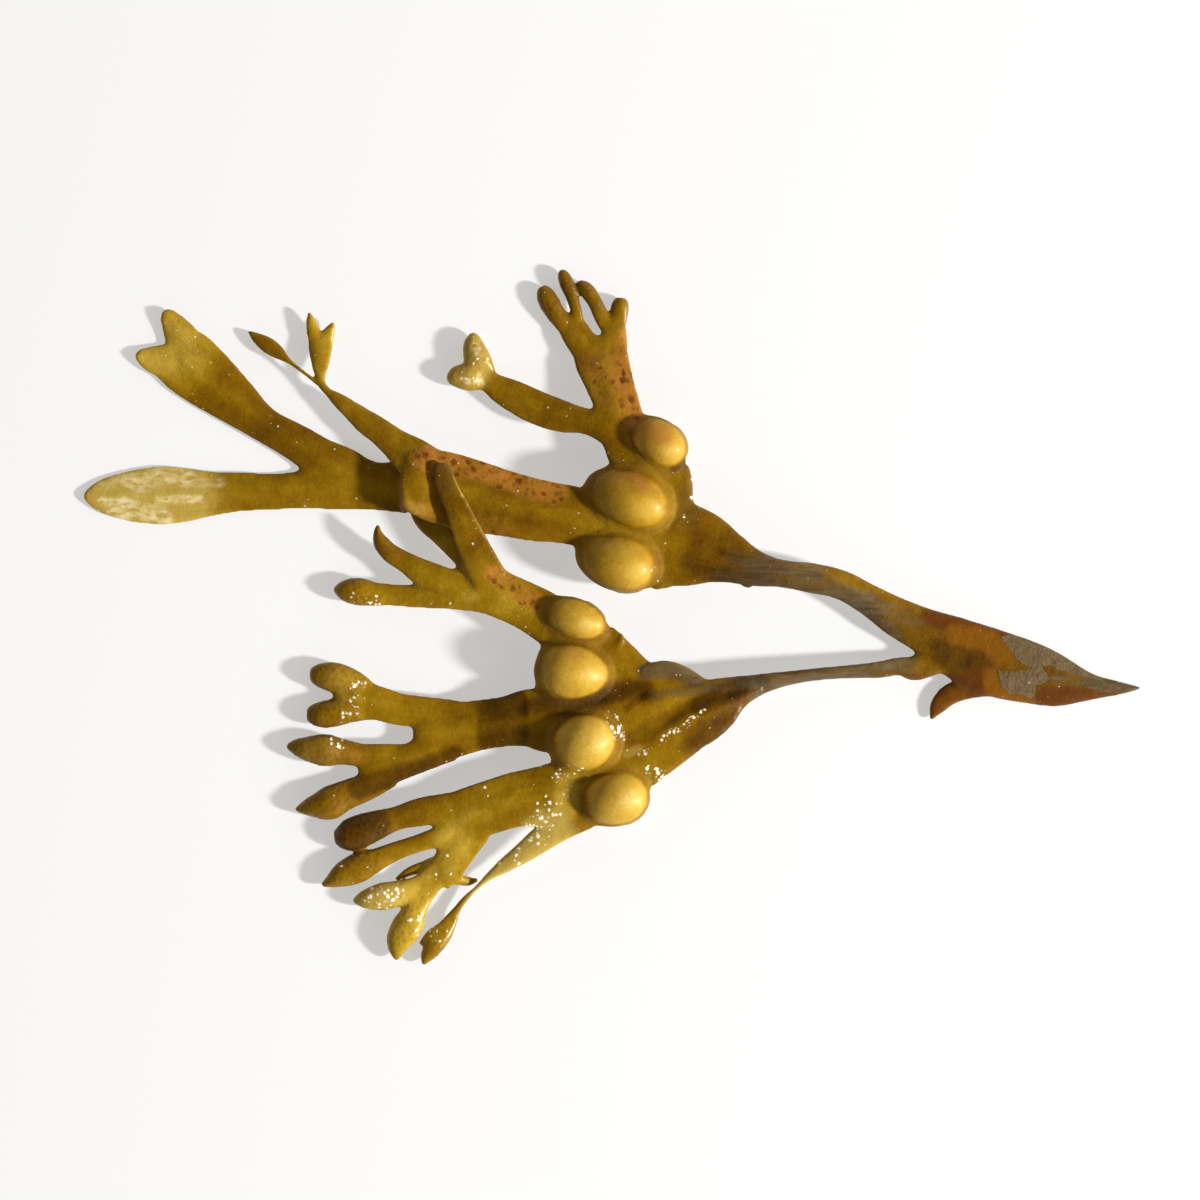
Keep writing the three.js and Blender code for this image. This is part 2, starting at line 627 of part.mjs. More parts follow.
// One piece: its straps and bladders grown together, and levelled where it lies on the surface.
function pieceMesh({ name, straps, bladders, colour }, ground) {
  const grown = [...straps.map(strapGeometry), ...bladders.map(bladderGeometry)].map(solid);
  const joined = grown.reduce((all, next) => all.add(next)).subtract(ground);
  const { vertProperties, triVerts } = joined.getMesh();
  const geometry = new THREE.BufferGeometry();
  geometry.setAttribute("position", new THREE.BufferAttribute(vertProperties, 3));
  geometry.setIndex(new THREE.BufferAttribute(triVerts, 1));
  geometry.computeVertexNormals();
  const material = new THREE.MeshStandardMaterial({ color: colour, roughness: WET_ROUGHNESS, metalness: 0 });
  const mesh = new THREE.Mesh(geometry, material);
  mesh.name = name;
  return mesh;
}

const bladderwrack = new THREE.Group();
const ground = groundSolid();
bladderwrack.add(...PIECES.map((piece) => pieceMesh(piece, ground)));

export default bladderwrack;
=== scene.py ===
# %% [markdown]
# # A sprig of bladderwrack
# Bladderwrack is a brown seaweed. A tough stalk, the stipe, forks again and again into flat leathery
# straps. Each strap has a midrib, some carry gas bladders as fat as beans, and the last forks end in
# swollen tips. This lesson dresses a plain solid model of one cut sprig. The frame below holds that
# model, in metres, and every piece made here stands where one of its solids stands.

import math
from collections import namedtuple

import bmesh
import bpy
import numpy as np
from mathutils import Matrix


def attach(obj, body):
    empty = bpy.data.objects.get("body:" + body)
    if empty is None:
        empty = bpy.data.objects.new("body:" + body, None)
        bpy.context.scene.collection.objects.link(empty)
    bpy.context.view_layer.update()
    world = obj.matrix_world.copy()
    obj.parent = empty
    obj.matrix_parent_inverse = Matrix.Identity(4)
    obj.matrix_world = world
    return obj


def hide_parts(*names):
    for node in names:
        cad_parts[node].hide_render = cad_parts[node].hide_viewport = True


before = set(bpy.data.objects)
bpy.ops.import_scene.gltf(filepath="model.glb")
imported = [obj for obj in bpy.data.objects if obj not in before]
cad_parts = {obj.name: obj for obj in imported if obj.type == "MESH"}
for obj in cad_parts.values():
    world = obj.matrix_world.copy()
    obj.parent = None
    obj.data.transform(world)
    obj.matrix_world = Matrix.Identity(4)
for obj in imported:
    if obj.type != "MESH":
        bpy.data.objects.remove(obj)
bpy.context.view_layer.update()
MM = 0.001

# %% [markdown]
# ## The straps, as a few measured stations
# A seaweed blade is a ribbon that widens, narrows, rises and dips. It could be sculpted, but a ribbon
# is easier to state than to sculpt: a list of stations from base to tip says where its middle runs and
# how wide and thick it is there. A station is x, y, the height of its middle and its width, then half
# its thickness and its roll, in millimetres and degrees. The solids are made from nearly the same
# stations, so the dressed sprig fits them. A fork is the station where one piece ends and the next
# begins.

# %% Forks, and a way to note straps
PLAIN_HALF = 0.45
PLAIN_RUFFLE = 0.2

Station = namedtuple("Station", "x y z width half roll", defaults=(PLAIN_HALF, 0))
Strap = namedtuple("Strap", "piece name stations start end ruffle")

FORKS = {
    "upper_stem": (Station(45.4, 0.2, 2.6, 6.6, 0.8), 150),
    "lower_stem": (Station(45.8, -7.7, 2.4, 3, 0.6), 180),
    "long_blade": (Station(-7, 16.5, 4.7, 9.9, 0.5), 170),
    "hand_twig": (Station(0.6, 34.6, 3.9, 7.8), 106),
    "heart_twig": (Station(-4.2, 31.4, 3.7, 4.6), 167),
    "left_blade": (Station(-35.5, 21, 1.4, 8.5), 180),
    "narrow_blade": (Station(-36.8, 29.6, 3.1, 4.7), 144),
    "upper_left_blade": (Station(-50.4, 28, 0.6, 6.4), 149),
    "top_branch": (Station(-11.8, 0.9, 4.5, 8.3, 0.5), 151),
    "middle_branch": (Station(-13.4, -16, 4.1, 9.9, 0.5), 180),
    "bottom_branch": (Station(-15.5, -29, 4, 9.3, 0.5), 193),
    "thin_blade": (Station(-11.4, -35.4, 3.4, 4.6), 216),
}
PIECES = ["stipe", *FORKS]
STRAPS = []


def grow(piece, name, stations, start=None, end=None, ruffle=PLAIN_RUFFLE):
    """Notes one strap, which may start and end at a fork. Its edges wave up and down by ruffle."""
    STRAPS.append(Strap(piece, name, [Station(*s) for s in stations], start, end, ruffle))


def tell(piece):
    """Prints which straps a piece has."""
    print(piece + ":", ", ".join(strap.name for strap in STRAPS if strap.piece == piece))


print("pieces:", ", ".join(PIECES))

# %% [markdown]
# ### The stipe
# The stipe is the stalk that held the plant to its rock. It was torn off, so it ends in a point, with a
# curled spur of bark at its side. It forks into two stems, and nearly everything else hangs on those.

# %% The stipe's stations
grow("stipe", "foot", end="upper_stem", stations=[
    (84.5, -11.2, 0.5, 0.4, 0.4), (81.3, -11.2, 0.6, 2.1, 0.7), (76.5, -11, 0.9, 4.6, 0.9),
    (71.7, -10.2, 1.1, 8.3, 1.1), (66.9, -8.8, 1.4, 10.1, 1.2), (62.1, -7.5, 1.7, 10.9, 1.2),
    (57.6, -5.9, 1.9, 10.7, 1.1), (53.8, -4, 2.1, 9.4, 1), (49.6, -1.9, 2.3, 7.5, 0.9),
])
grow("stipe", "lower_fork", end="lower_stem", stations=[
    (62.1, -8, 1.7, 8.3, 0.9), (56.5, -6.4, 1.9, 4, 0.8), (52.2, -7.1, 2.1, 3.8, 0.7),
    (48.3, -8, 2.2, 4.3, 0.7),
])
grow("stipe", "spur", stations=[
    (62.1, -10.2, 1.5, 5.1, 0.7), (57.6, -11.2, 1.3, 3.5, 0.6), (54.2, -12.1, 1.1, 3.7, 0.5),
    (52.2, -14, 0.9, 2.9), (51, -16.2, 0.7, 0.5),
])
tell("stipe")

# %% [markdown]
# ### The upper stem
# A flat stalk that widens into a web around three bladders. Its upper edge is rolled, a ridge runs
# along it, and two twigs leave the web on its far side.

# %% The upper stem's stations
grow("upper_stem", "stem", start="upper_stem", end="long_blade", stations=[
    (41, 2.9, 3.1, 5.3, 0.8), (36.5, 5.3, 3.6, 5, 0.8), (31.7, 6.4, 4, 5.1, 0.8),
    (27.5, 7, 4.3, 4.6, 0.8), (24.6, 7.5, 4.5, 5.4, 0.8), (21.8, 8.3, 4.6, 6.6, 0.8),
    (18.6, 9.6, 4.7, 8.8, 0.7), (15, 10.9, 4.8, 12.1, 0.7), (10.9, 11.8, 4.8, 14.2, 0.7),
    (5.3, 12.6, 4.8, 16.1, 0.7), (-0.3, 15, 4.8, 11.5, 0.6), (-3.5, 15.7, 4.8, 10.2, 0.5),
])
grow("upper_stem", "twig_root", end="hand_twig", stations=[
    (11.5, 11.2, 4.8, 4.5, 0.6), (9, 17, 4.8, 9, 0.6), (6.9, 22.4, 4.7, 11.8, 0.6),
    (3.8, 26.9, 4.5, 10.2, 0.5), (1.6, 30.9, 4.2, 8.3),
])
grow("upper_stem", "heart_root", end="heart_twig", stations=[
    (2.6, 28.5, 4.5, 8.3, 0.5), (-0.6, 30.4, 4.2, 6.1),
])
grow("upper_stem", "rolled_edge", ruffle=0, stations=[
    (16, 10.9, 5, 1.2, 0.5), (20, 9.8, 5.3, 1.5, 0.7), (26.1, 8.7, 5, 1.6, 0.8), (31, 7.8, 4.7, 1.6, 0.8),
    (35.5, 5.9, 4.3, 1.5, 0.8), (40.5, 3.1, 3.7, 1.3, 0.7), (44.4, 0.9, 3, 0.8, 0.4),
])
grow("upper_stem", "low_ridge", ruffle=0, stations=[
    (14, 7.6, 5, 1, 0.5), (19, 7.2, 5.2, 1.4, 0.6), (23.5, 6.2, 5, 1.3, 0.6), (28, 5.7, 4.7, 1, 0.5),
    (32, 5.2, 4.3, 0.6, 0.4),
])
grow("upper_stem", "jag", ruffle=0, stations=[
    (21.8, 6.6, 4.5, 2.4, 0.5), (21.5, 5.6, 4.4, 2.2, 0.5), (21.3, 4.9, 4.4, 1.2, 0.4),
])
tell("upper_stem")

# %% [markdown]
# ### The long blade
# The broadest strap of the sprig, with the plainest midrib. It lies on the blades below it, and bends
# down at its end, where a step shows.

# %% The long blade's stations
grow("long_blade", "blade", start="long_blade", end="left_blade", stations=[
    (-11.5, 17.1, 4.6, 10.4), (-16.3, 18.1, 4.5, 11), (-21.1, 19.2, 4.4, 11.8),
    (-25.9, 20.5, 4.3, 12.3), (-28.6, 21.1, 4.45, 12), (-30.2, 21.3, 4.75, 11.5),
    (-31.5, 21.3, 4.75, 10.8), (-32.3, 21.2, 4.4, 10.2), (-32.8, 21.1, 3.1, 9.7), (-33.1, 21.1, 1.9, 9.4),
])
grow("long_blade", "lip", ruffle=0, stations=[
    (-32, 25.6, 4.1, 1.2, 0.3), (-32.7, 23.6, 4.5, 1.6, 0.35), (-32.9, 21, 4.7, 1.8, 0.4),
    (-32.8, 19, 4.8, 1.8, 0.4), (-32, 17.6, 4.8, 1.8, 0.4), (-30.4, 16.9, 4.7, 1.6, 0.35),
    (-28.4, 16.3, 4.5, 1, 0.3),
])
grow("long_blade", "narrow_root", end="narrow_blade", stations=[
    (-27.5, 22.4, 4.2, 7.7), (-31.7, 25.6, 4.1, 7), (-34.6, 27.8, 3.5, 5.4),
])
tell("long_blade")

# %% [markdown]
# ### The left blade
# A paddle that lies flat on the surface. Its thin end is the glossiest place of all.

# %% The left blade's stations
grow("left_blade", "blade", start="left_blade", stations=[
    (-37.9, 21.1, 0.9, 8.2), (-41.6, 21.6, 0.6, 9), (-45.9, 21.1, 0.55, 8), (-50.2, 20.5, 0.5, 6.4),
    (-55, 20.2, 0.45, 6.3), (-59.5, 20.2, 0.4, 6.7), (-63.7, 19.9, 0.4, 7.5), (-67.8, 19.7, 0.4, 9),
    (-72.3, 19.6, 0.4, 9.8), (-77.1, 19.5, 0.4, 8.6), (-81, 19.5, 0.4, 6.4), (-83.2, 19.5, 0.45, 4),
    (-84.5, 19.5, 0.5, 0.8),
])
grow("left_blade", "side_root", end="upper_left_blade", stations=[
    (-39.5, 21.4, 0.8, 8), (-43.5, 23.5, 0.65, 8.6), (-47, 25.8, 0.6, 7),
])
tell("left_blade")

# %% [markdown]
# ### The upper left blade
# A second paddle, which has begun to fork: its end has a notch between two round lobes.

# %% The upper left blade's stations
grow("upper_left_blade", "blade", start="upper_left_blade", stations=[
    (-55.7, 31, 0.55, 6.1), (-60.2, 34.6, 0.5, 8.2), (-64.5, 38.1, 0.5, 10.1), (-68, 41, 0.5, 10.9),
    (-70.1, 42.7, 0.55, 9.9),
])
grow("upper_left_blade", "upper_lobe", stations=[
    (-66.6, 41, 0.5, 7), (-68.5, 44.3, 0.5, 6.1), (-70.1, 46.9, 0.7, 4.5), (-71.2, 48.5, 1, 2.6),
    (-71.7, 49.1, 1.2, 0.8),
])
grow("upper_left_blade", "lower_lobe", stations=[
    (-67.8, 39.4, 0.5, 6.4), (-70.9, 40.8, 0.5, 5.9), (-73.6, 41.4, 0.6, 4.8), (-75.4, 41.8, 0.8, 2.7),
    (-76.2, 41.8, 1, 0.8),
])
tell("upper_left_blade")

# %% [markdown]
# ### The narrow blade
# A blade that narrows to a thread, with a lance-shaped tip and a forked one.

# %% The narrow blade's stations
grow("narrow_blade", "lance", start="narrow_blade", stations=[
    (-39.4, 31.4, 2.8, 4.3), (-41.9, 33.4, 2.6, 3.2), (-44.2, 35.2, 2.5, 2.1), (-45.9, 36.6, 2.4, 0.9),
    (-48.3, 38.5, 2.2, 0.7), (-50.4, 40.1, 2, 0.7), (-51.7, 41.1, 1.8, 1), (-53.3, 42.4, 1.5, 2.2),
    (-55, 43.6, 1.3, 2.7), (-56.8, 44.8, 1.1, 1.8), (-58.2, 45.9, 1, 0.3),
])
grow("narrow_blade", "forked_tip", stations=[
    (-45, 35.7, 2.4, 1.3), (-46.4, 37.4, 2.4, 1.4), (-46.6, 39, 2.2, 2), (-46.6, 41.1, 1.9, 3.4),
    (-46.6, 43.5, 1.5, 4.3), (-46.6, 45.3, 1.4, 4.2),
])
grow("narrow_blade", "left_prong", stations=[
    (-47, 43.5, 1.5, 3.2), (-47.8, 46.1, 1.4, 2.2), (-48.2, 47.8, 1.6, 1.4), (-48.4, 48.9, 1.8, 0.4),
])
grow("narrow_blade", "right_prong", stations=[
    (-46.1, 43.5, 1.5, 3.2), (-45.4, 45.4, 1.4, 2.2), (-44.8, 46.6, 1.5, 1.3), (-44.6, 47.3, 1.6, 0.4),
])
tell("narrow_blade")

# %% [markdown]
# ### The hand twig
# A short twig that forks twice, so it ends like a hand with four fingers.

# %% The hand twig's stations
grow("hand_twig", "palm", start="hand_twig", stations=[
    (-0.5, 37.8, 3.2, 8.3), (-1.6, 41, 2.5, 9.1), (-2.4, 43, 2.1, 8.6),
])
grow("hand_twig", "left_part", stations=[
    (-1.9, 41, 2.5, 7), (-4.6, 43.8, 1.8, 5.4), (-6.2, 46.2, 1.4, 5), (-7, 47.7, 1.3, 4.2),
])
grow("hand_twig", "first_finger", stations=[
    (-6.4, 46.1, 1.4, 4), (-8.7, 48.3, 1.2, 3.2, 1), (-10, 50.4, 1.2, 3.5, 1.2),
    (-10.8, 52, 1.2, 2.9, 1), (-11.3, 53, 1.2, 1.3, 0.5),
])
grow("hand_twig", "second_finger", stations=[
    (-5.7, 46.1, 1.5, 3), (-5.7, 48.8, 1.5, 2), (-6.4, 51.4, 1.4, 2.1, 0.8),
    (-7.2, 53.4, 1.4, 2.4, 1), (-7.8, 54.9, 1.4, 1.9, 0.9), (-8, 55.7, 1.4, 0.9, 0.4),
])
grow("hand_twig", "right_part", stations=[
    (-1, 40.6, 2.5, 7), (0.2, 43.7, 1.9, 5), (0.2, 46.4, 1.5, 4.2), (-0.2, 48, 1.3, 3.8),
])
grow("hand_twig", "third_finger", stations=[
    (-0.3, 45.8, 1.6, 2.9), (-1.8, 48.5, 1.4, 2.6), (-2.7, 50.4, 1.4, 2.4, 0.9),
    (-3.9, 52.2, 1.4, 2.6, 1), (-5, 53.1, 1.4, 2.1, 0.9), (-5.7, 53.5, 1.4, 1, 0.4),
])
grow("hand_twig", "fourth_finger", stations=[
    (0.6, 45.8, 1.5, 3), (1.1, 48.5, 1.3, 3, 0.7), (1.3, 50, 1.2, 3, 1), (1.4, 51.2, 1.2, 1.7, 0.7),
])
tell("hand_twig")

# %% [markdown]
# ### The heart twig
# A twig with one swollen, heart-shaped tip.

# %% The heart twig's stations
grow("heart_twig", "blade", start="heart_twig", stations=[
    (-8, 32.2, 3.2, 5.6), (-11.8, 33.5, 2.6, 5.9), (-15.4, 35.3, 2.1, 5.6), (-17.9, 36.6, 1.8, 4.8),
    (-19.8, 37.9, 1.7, 3.8), (-21.4, 39.5, 1.7, 4.8, 1.4),
])
grow("heart_twig", "upper_lobe", stations=[
    (-20.5, 38.4, 1.7, 4.5, 1.1), (-21.4, 41, 1.8, 4.6, 1.4), (-22.1, 43.4, 1.7, 3.7, 1.3),
    (-22.2, 44.8, 1.6, 2.4, 1), (-22.3, 45.6, 1.6, 0.8, 0.4),
])
grow("heart_twig", "left_lobe", stations=[
    (-20.2, 38.1, 1.7, 3.5, 1.1), (-22.6, 38.4, 1.8, 4.5, 1.4), (-24.5, 38.6, 1.7, 4, 1.3),
    (-25.8, 38.6, 1.6, 2.7, 1), (-26.4, 38.7, 1.6, 1, 0.4),
])
tell("heart_twig")

# %% [markdown]
# ### The lower stem
# A thin stalk, rolled half over on itself, that opens into a fan around four bladders. The fan is
# folded, so thin ridges run over it, and a withered wing curls up beside them.

# %% The lower stem's stations
grow("lower_stem", "stem", start="lower_stem", stations=[
    (42.9, -8.2, 2.7, 3.2, 0.5, -25), (39, -8.5, 2.9, 3.2, 0.5, -45), (34.6, -8.8, 3.1, 3.2, 0.5, -55),
    (30.1, -9.3, 3.3, 3.4, 0.5, -55), (25.6, -10.1, 3.5, 3.8, 0.5, -40),
    (22.4, -11, 3.8, 4.4, 0.5, -20), (19.5, -12.3, 4.2, 5.8, 0.6), (16.6, -14.1, 4.4, 8.6, 0.7),
    (13.4, -15.4, 4.6, 10.9, 0.7), (9, -16, 4.6, 13.6, 0.7),
])
grow("lower_stem", "top_root", end="top_branch", stations=[
    (16.6, -11.8, 4.5, 3.2, 0.6), (12.5, -11.5, 4.6, 5.4, 0.6), (8, -10.9, 4.6, 6.4, 0.7),
    (4.5, -9.9, 4.6, 6.9, 0.7), (1, -7.4, 4.6, 8, 0.7), (-2.9, -4.3, 4.6, 8.8, 0.6),
    (-7.4, -1.6, 4.6, 9.3, 0.6),
])
grow("lower_stem", "bladder_web", stations=[
    (6.1, -11.5, 4.6, 7.7, 0.7), (0, -9.6, 4.6, 10.9, 0.7), (-6.1, -8, 4.6, 11.5, 0.7),
    (-10.2, -7.5, 4.5, 8.3, 0.6), (-12.3, -7.4, 4.5, 4.2),
])
grow("lower_stem", "middle_root", end="middle_branch", stations=[
    (12.5, -14.4, 4.6, 8, 0.7), (6.1, -15, 4.6, 11.5, 0.7), (-0.3, -15.7, 4.6, 14.1, 0.7),
    (-6.7, -16.3, 4.5, 12.8, 0.6), (-10.7, -16.2, 4.4, 10.9, 0.5),
])
grow("lower_stem", "bottom_root", end="bottom_branch", stations=[
    (17.9, -14.4, 4.5, 5.1, 0.6), (14.1, -16.6, 4.6, 7, 0.7), (9.6, -19.8, 4.6, 7.8, 0.7),
    (5.3, -22.4, 4.6, 9, 0.7), (-0.3, -25, 4.6, 12.8, 0.7), (-5.9, -27.4, 4.5, 11.8, 0.6),
    (-10.7, -28.3, 4.3, 10.2, 0.5),
])
grow("lower_stem", "thin_root", end="thin_blade", stations=[
    (2.1, -26.9, 4.5, 7.7, 0.6), (-3.5, -30.1, 4.2, 7, 0.5), (-8, -33, 3.8, 5.4),
])
grow("lower_stem", "high_ridge", ruffle=0, stations=[
    (27, -9.4, 3.8, 1.4, 0.5), (22, -10.2, 4.4, 2.4, 0.6), (17, -11, 4.8, 3, 0.65),
    (12, -11.8, 4.9, 3.2, 0.65), (7.5, -12.9, 4.9, 3, 0.6), (4.2, -14.2, 4.8, 2.2, 0.5),
    (2.2, -15.8, 4.6, 1.2, 0.4),
])
grow("lower_stem", "middle_fold", ruffle=0, stations=[
    (24, -11.2, 4, 1.2, 0.4), (20, -12.6, 4.6, 2.6, 0.6), (16, -14.4, 4.9, 3.4, 0.7),
    (12, -16.6, 5, 3.4, 0.7), (8, -19, 4.9, 3, 0.65), (4.2, -21.2, 4.7, 1.6, 0.5),
])
grow("lower_stem", "curled_wing", ruffle=0, stations=[
    (3.6, -9.6, 4.9, 1.4, 0.4), (5.8, -8.4, 5.2, 2.4, 0.45), (8.8, -8, 5.3, 2.5, 0.45),
    (11.6, -8.9, 5.2, 2.4, 0.45), (14.5, -10.2, 4.9, 1.4, 0.4),
])
grow("lower_stem", "tooth", ruffle=0, stations=[
    (0.8, -4.8, 4.8, 2.2, 0.5), (1.4, -3.4, 4.9, 1.5, 0.5), (1.5, -2.4, 4.9, 0.4, 0.3),
])
tell("lower_stem")

# %% [markdown]
# ### The top branch
# Four fingers. One lies over the long blade and one goes under it.

# %% The top branch's stations
grow("top_branch", "blade", start="top_branch", stations=[
    (-14.7, 2.4, 4.4, 8), (-17.9, 3.8, 4.4, 8), (-20.8, 5.3, 4.4, 8),
])
grow("top_branch", "long_finger", stations=[
    (-16.6, 3.5, 4.4, 7.7), (-21.4, 3.7, 4, 6.1), (-26.2, 3.5, 3.4, 4.6), (-31, 3.5, 2.8, 4.1),
    (-35.2, 3.7, 2.3, 3.8), (-37.8, 3.8, 2, 4, 1), (-40.3, 4.2, 1.9, 4.6, 1.6),
    (-42.6, 4.4, 1.7, 3.8, 1.5), (-43.8, 4.5, 1.6, 2.2, 1), (-44.5, 4.5, 1.6, 0.6, 0.4),
])
grow("top_branch", "curled_finger", stations=[
    (-21.4, 4.8, 4.2, 5.1), (-25.9, 5.7, 3.8, 4.8), (-29.9, 7.1, 3.4, 4.8), (-33.1, 9, 3.1, 3.7),
    (-35.4, 10.4, 3.1, 3.2, 0.9), (-36.8, 12, 3.3, 2.7, 1), (-37.4, 13.6, 3.7, 1.5, 0.7),
    (-37.3, 14.9, 4.1, 0.5, 0.3),
])
grow("top_branch", "over_finger", ruffle=0, stations=[
    (-17.9, 3.8, 4.5, 5.8), (-20.6, 8.4, 5.1, 6, 0.35, -4), (-22.7, 12.8, 5.7, 5.4, 0.3, -8),
    (-24.4, 17, 6.1, 4.5, 0.25, -9), (-25.8, 19.8, 6.15, 4.1, 0.25, -9), (-26.6, 21.8, 6.05, 3.8, 0.25, -8),
    (-26.9, 23.2, 5.85, 3.4, 0.3, -5), (-27, 24.2, 5.75, 2.6, 0.3), (-27, 24.8, 5.7, 1, 0.25),
])
grow("top_branch", "under_finger", stations=[
    (-19.5, 5.4, 4.3, 6.4), (-22.9, 9.4, 3.9, 4.8), (-26.4, 13.1, 2.6, 4.8), (-29.6, 15.5, 1.9, 4),
    (-31.2, 17.1, 1.4, 2.6), (-32, 18, 1.1, 0.8),
])
tell("top_branch")

# %% [markdown]
# ### The middle branch
# A blade that forks twice into four swollen tips, full of warts.

# %% The middle branch's stations
grow("middle_branch", "blade", start="middle_branch", stations=[
    (-17, -16.5, 3.4, 8.6), (-21.1, -17.1, 2.6, 8.6), (-25.1, -17.8, 2.2, 9.4), (-28.2, -18.1, 2.1, 9.9),
    (-30.4, -18.3, 2.1, 7.2), (-31.9, -18.3, 2.1, 2.8),
])
grow("middle_branch", "upper_prong", stations=[
    (-25.1, -16, 2.2, 6.4), (-29.9, -15, 2.1, 5.4), (-33.9, -14.6, 2.1, 5.6), (-37.1, -13.7, 2.2, 5.9),
    (-40.2, -13.1, 2, 6.4), (-42.8, -12.7, 1.9, 6), (-44.6, -12.5, 1.8, 4.2),
])
grow("middle_branch", "first_tip", stations=[
    (-38.4, -12.6, 2.1, 4.2), (-41.4, -10.6, 1.9, 4.8, 1.2), (-44, -9.6, 1.8, 5.1, 1.7),
    (-46.2, -9.2, 1.7, 4.4, 1.5), (-47.6, -9.1, 1.6, 3.2, 1.2), (-48.3, -9.1, 1.6, 1.6, 0.6),
])
grow("middle_branch", "second_tip", stations=[
    (-38.4, -14.4, 2.1, 3.8), (-41.3, -14.9, 1.9, 3.7, 1.2), (-43.8, -15.1, 1.8, 4.5, 1.7),
    (-46.1, -15.4, 1.7, 4.5, 1.6), (-47.8, -15.4, 1.6, 3.6, 1.2), (-48.8, -15.4, 1.6, 1.8, 0.6),
])
grow("middle_branch", "lower_prong", stations=[
    (-25.6, -20.2, 2.2, 5.8), (-30.4, -21.9, 2.1, 5.8), (-34.4, -23.4, 2.1, 5.9), (-38.1, -24.6, 2, 6.6),
    (-40.6, -24.9, 2, 4.6),
])
grow("middle_branch", "third_tip", stations=[
    (-33.6, -22, 2.2, 4.4), (-36.8, -22.1, 2.1, 4.5), (-40, -21.9, 2, 4.1), (-42.9, -21.4, 1.9, 4.3, 1.2),
    (-45.8, -21.1, 1.9, 5.4, 1.8), (-48.5, -20.9, 1.8, 4.3, 1.6), (-50.6, -20.6, 1.6, 2.7, 1.1),
    (-52, -20.5, 1.6, 0.8, 0.4),
])
grow("middle_branch", "fourth_tip", stations=[
    (-35.2, -25, 2.2, 4.5), (-39, -26.9, 2, 4.8), (-42.6, -28.3, 1.9, 5, 1.2),
    (-45.3, -29.6, 1.9, 5.6, 1.8), (-47.8, -30.1, 1.8, 3.7, 1.5), (-49.4, -30.4, 1.6, 2.1, 1),
    (-50.6, -30.6, 1.5, 0.6, 0.4),
])
tell("middle_branch")

# %% [markdown]
# ### The bottom branch
# Five fingers and a spur, some with swollen tips. The first is the darkest place on the sprig.

# %% The bottom branch's stations
grow("bottom_branch", "blade", start="bottom_branch", stations=[
    (-19.5, -30.2, 3.6, 9.1), (-23.2, -31.5, 3.2, 9.1), (-25.9, -33, 2.9, 9),
])
grow("bottom_branch", "dark_finger", stations=[
    (-21.8, -29.8, 3.3, 5.8), (-26.2, -30.2, 2.9, 5), (-30.7, -31, 2.5, 5), (-34.4, -32, 2.2, 4.2),
    (-37.4, -33, 2, 4.9, 1.3), (-40.3, -34.1, 1.9, 5.6, 1.8), (-42.4, -34.8, 1.8, 5.1, 1.6),
    (-43.6, -35, 1.6, 3.7, 1.2), (-44.4, -35.1, 1.6, 1.9, 0.6),
])
grow("bottom_branch", "second_finger", stations=[
    (-23.4, -33.6, 3.1, 4.8), (-26.9, -34.7, 2.7, 3.8), (-30.7, -35.9, 2.3, 3.1),
    (-34.2, -37.1, 2, 3.3), (-37.4, -38.5, 1.9, 3.8, 1.2), (-40.3, -39.8, 1.8, 5, 1.6),
    (-43, -41, 1.7, 4.3, 1.5), (-45, -42.1, 1.5, 2.2, 1), (-46.4, -42.7, 1.4, 0.6, 0.4),
])
grow("bottom_branch", "trunk", stations=[
    (-22.4, -33.3, 3.1, 7.4), (-24.3, -36.5, 2.7, 6.4), (-26.1, -39.4, 2.4, 5.9),
    (-28.2, -41.9, 2.1, 5.4),
])
grow("bottom_branch", "third_finger", stations=[
    (-27.8, -41, 2.2, 4.2), (-31, -42.9, 2, 3.8), (-34.2, -44, 1.9, 4.3, 1.3),
    (-36.8, -44.5, 1.8, 4.6, 1.6), (-39.2, -44.9, 1.7, 3.4, 1.4), (-40.6, -45.1, 1.5, 1.9, 0.9),
    (-41.4, -45.2, 1.5, 0.6, 0.4),
])
grow("bottom_branch", "fourth_finger", stations=[
    (-28.2, -41.3, 2.2, 4.5), (-30.1, -44.2, 2, 3.7), (-31.4, -46.6, 1.9, 3.9, 1.2),
    (-32.6, -49.1, 1.8, 5.2, 1.6), (-34, -51.5, 1.7, 4.4, 1.5), (-34.4, -53.3, 1.5, 2.6, 1),
    (-34.4, -54.7, 1.4, 0.6, 0.4),
])
grow("bottom_branch", "back_finger", stations=[
    (-26.9, -38.7, 1.9, 2.9), (-29.8, -39.7, 1.3, 2.1), (-32.3, -40.5, 1, 1.6),
    (-34.6, -41.8, 0.8, 0.6),
])
grow("bottom_branch", "side_spur", stations=[
    (-27.2, -41, 2, 3), (-24.8, -41.7, 1.6, 2), (-22.9, -42.1, 0.9, 1.6, 0.35),
    (-21.4, -41.9, 0.5, 0.6, 0.3),
])
tell("bottom_branch")

# %% [markdown]
# ### The thin blade
# The palest blade. It is as thin as a thread before its small forked tip.

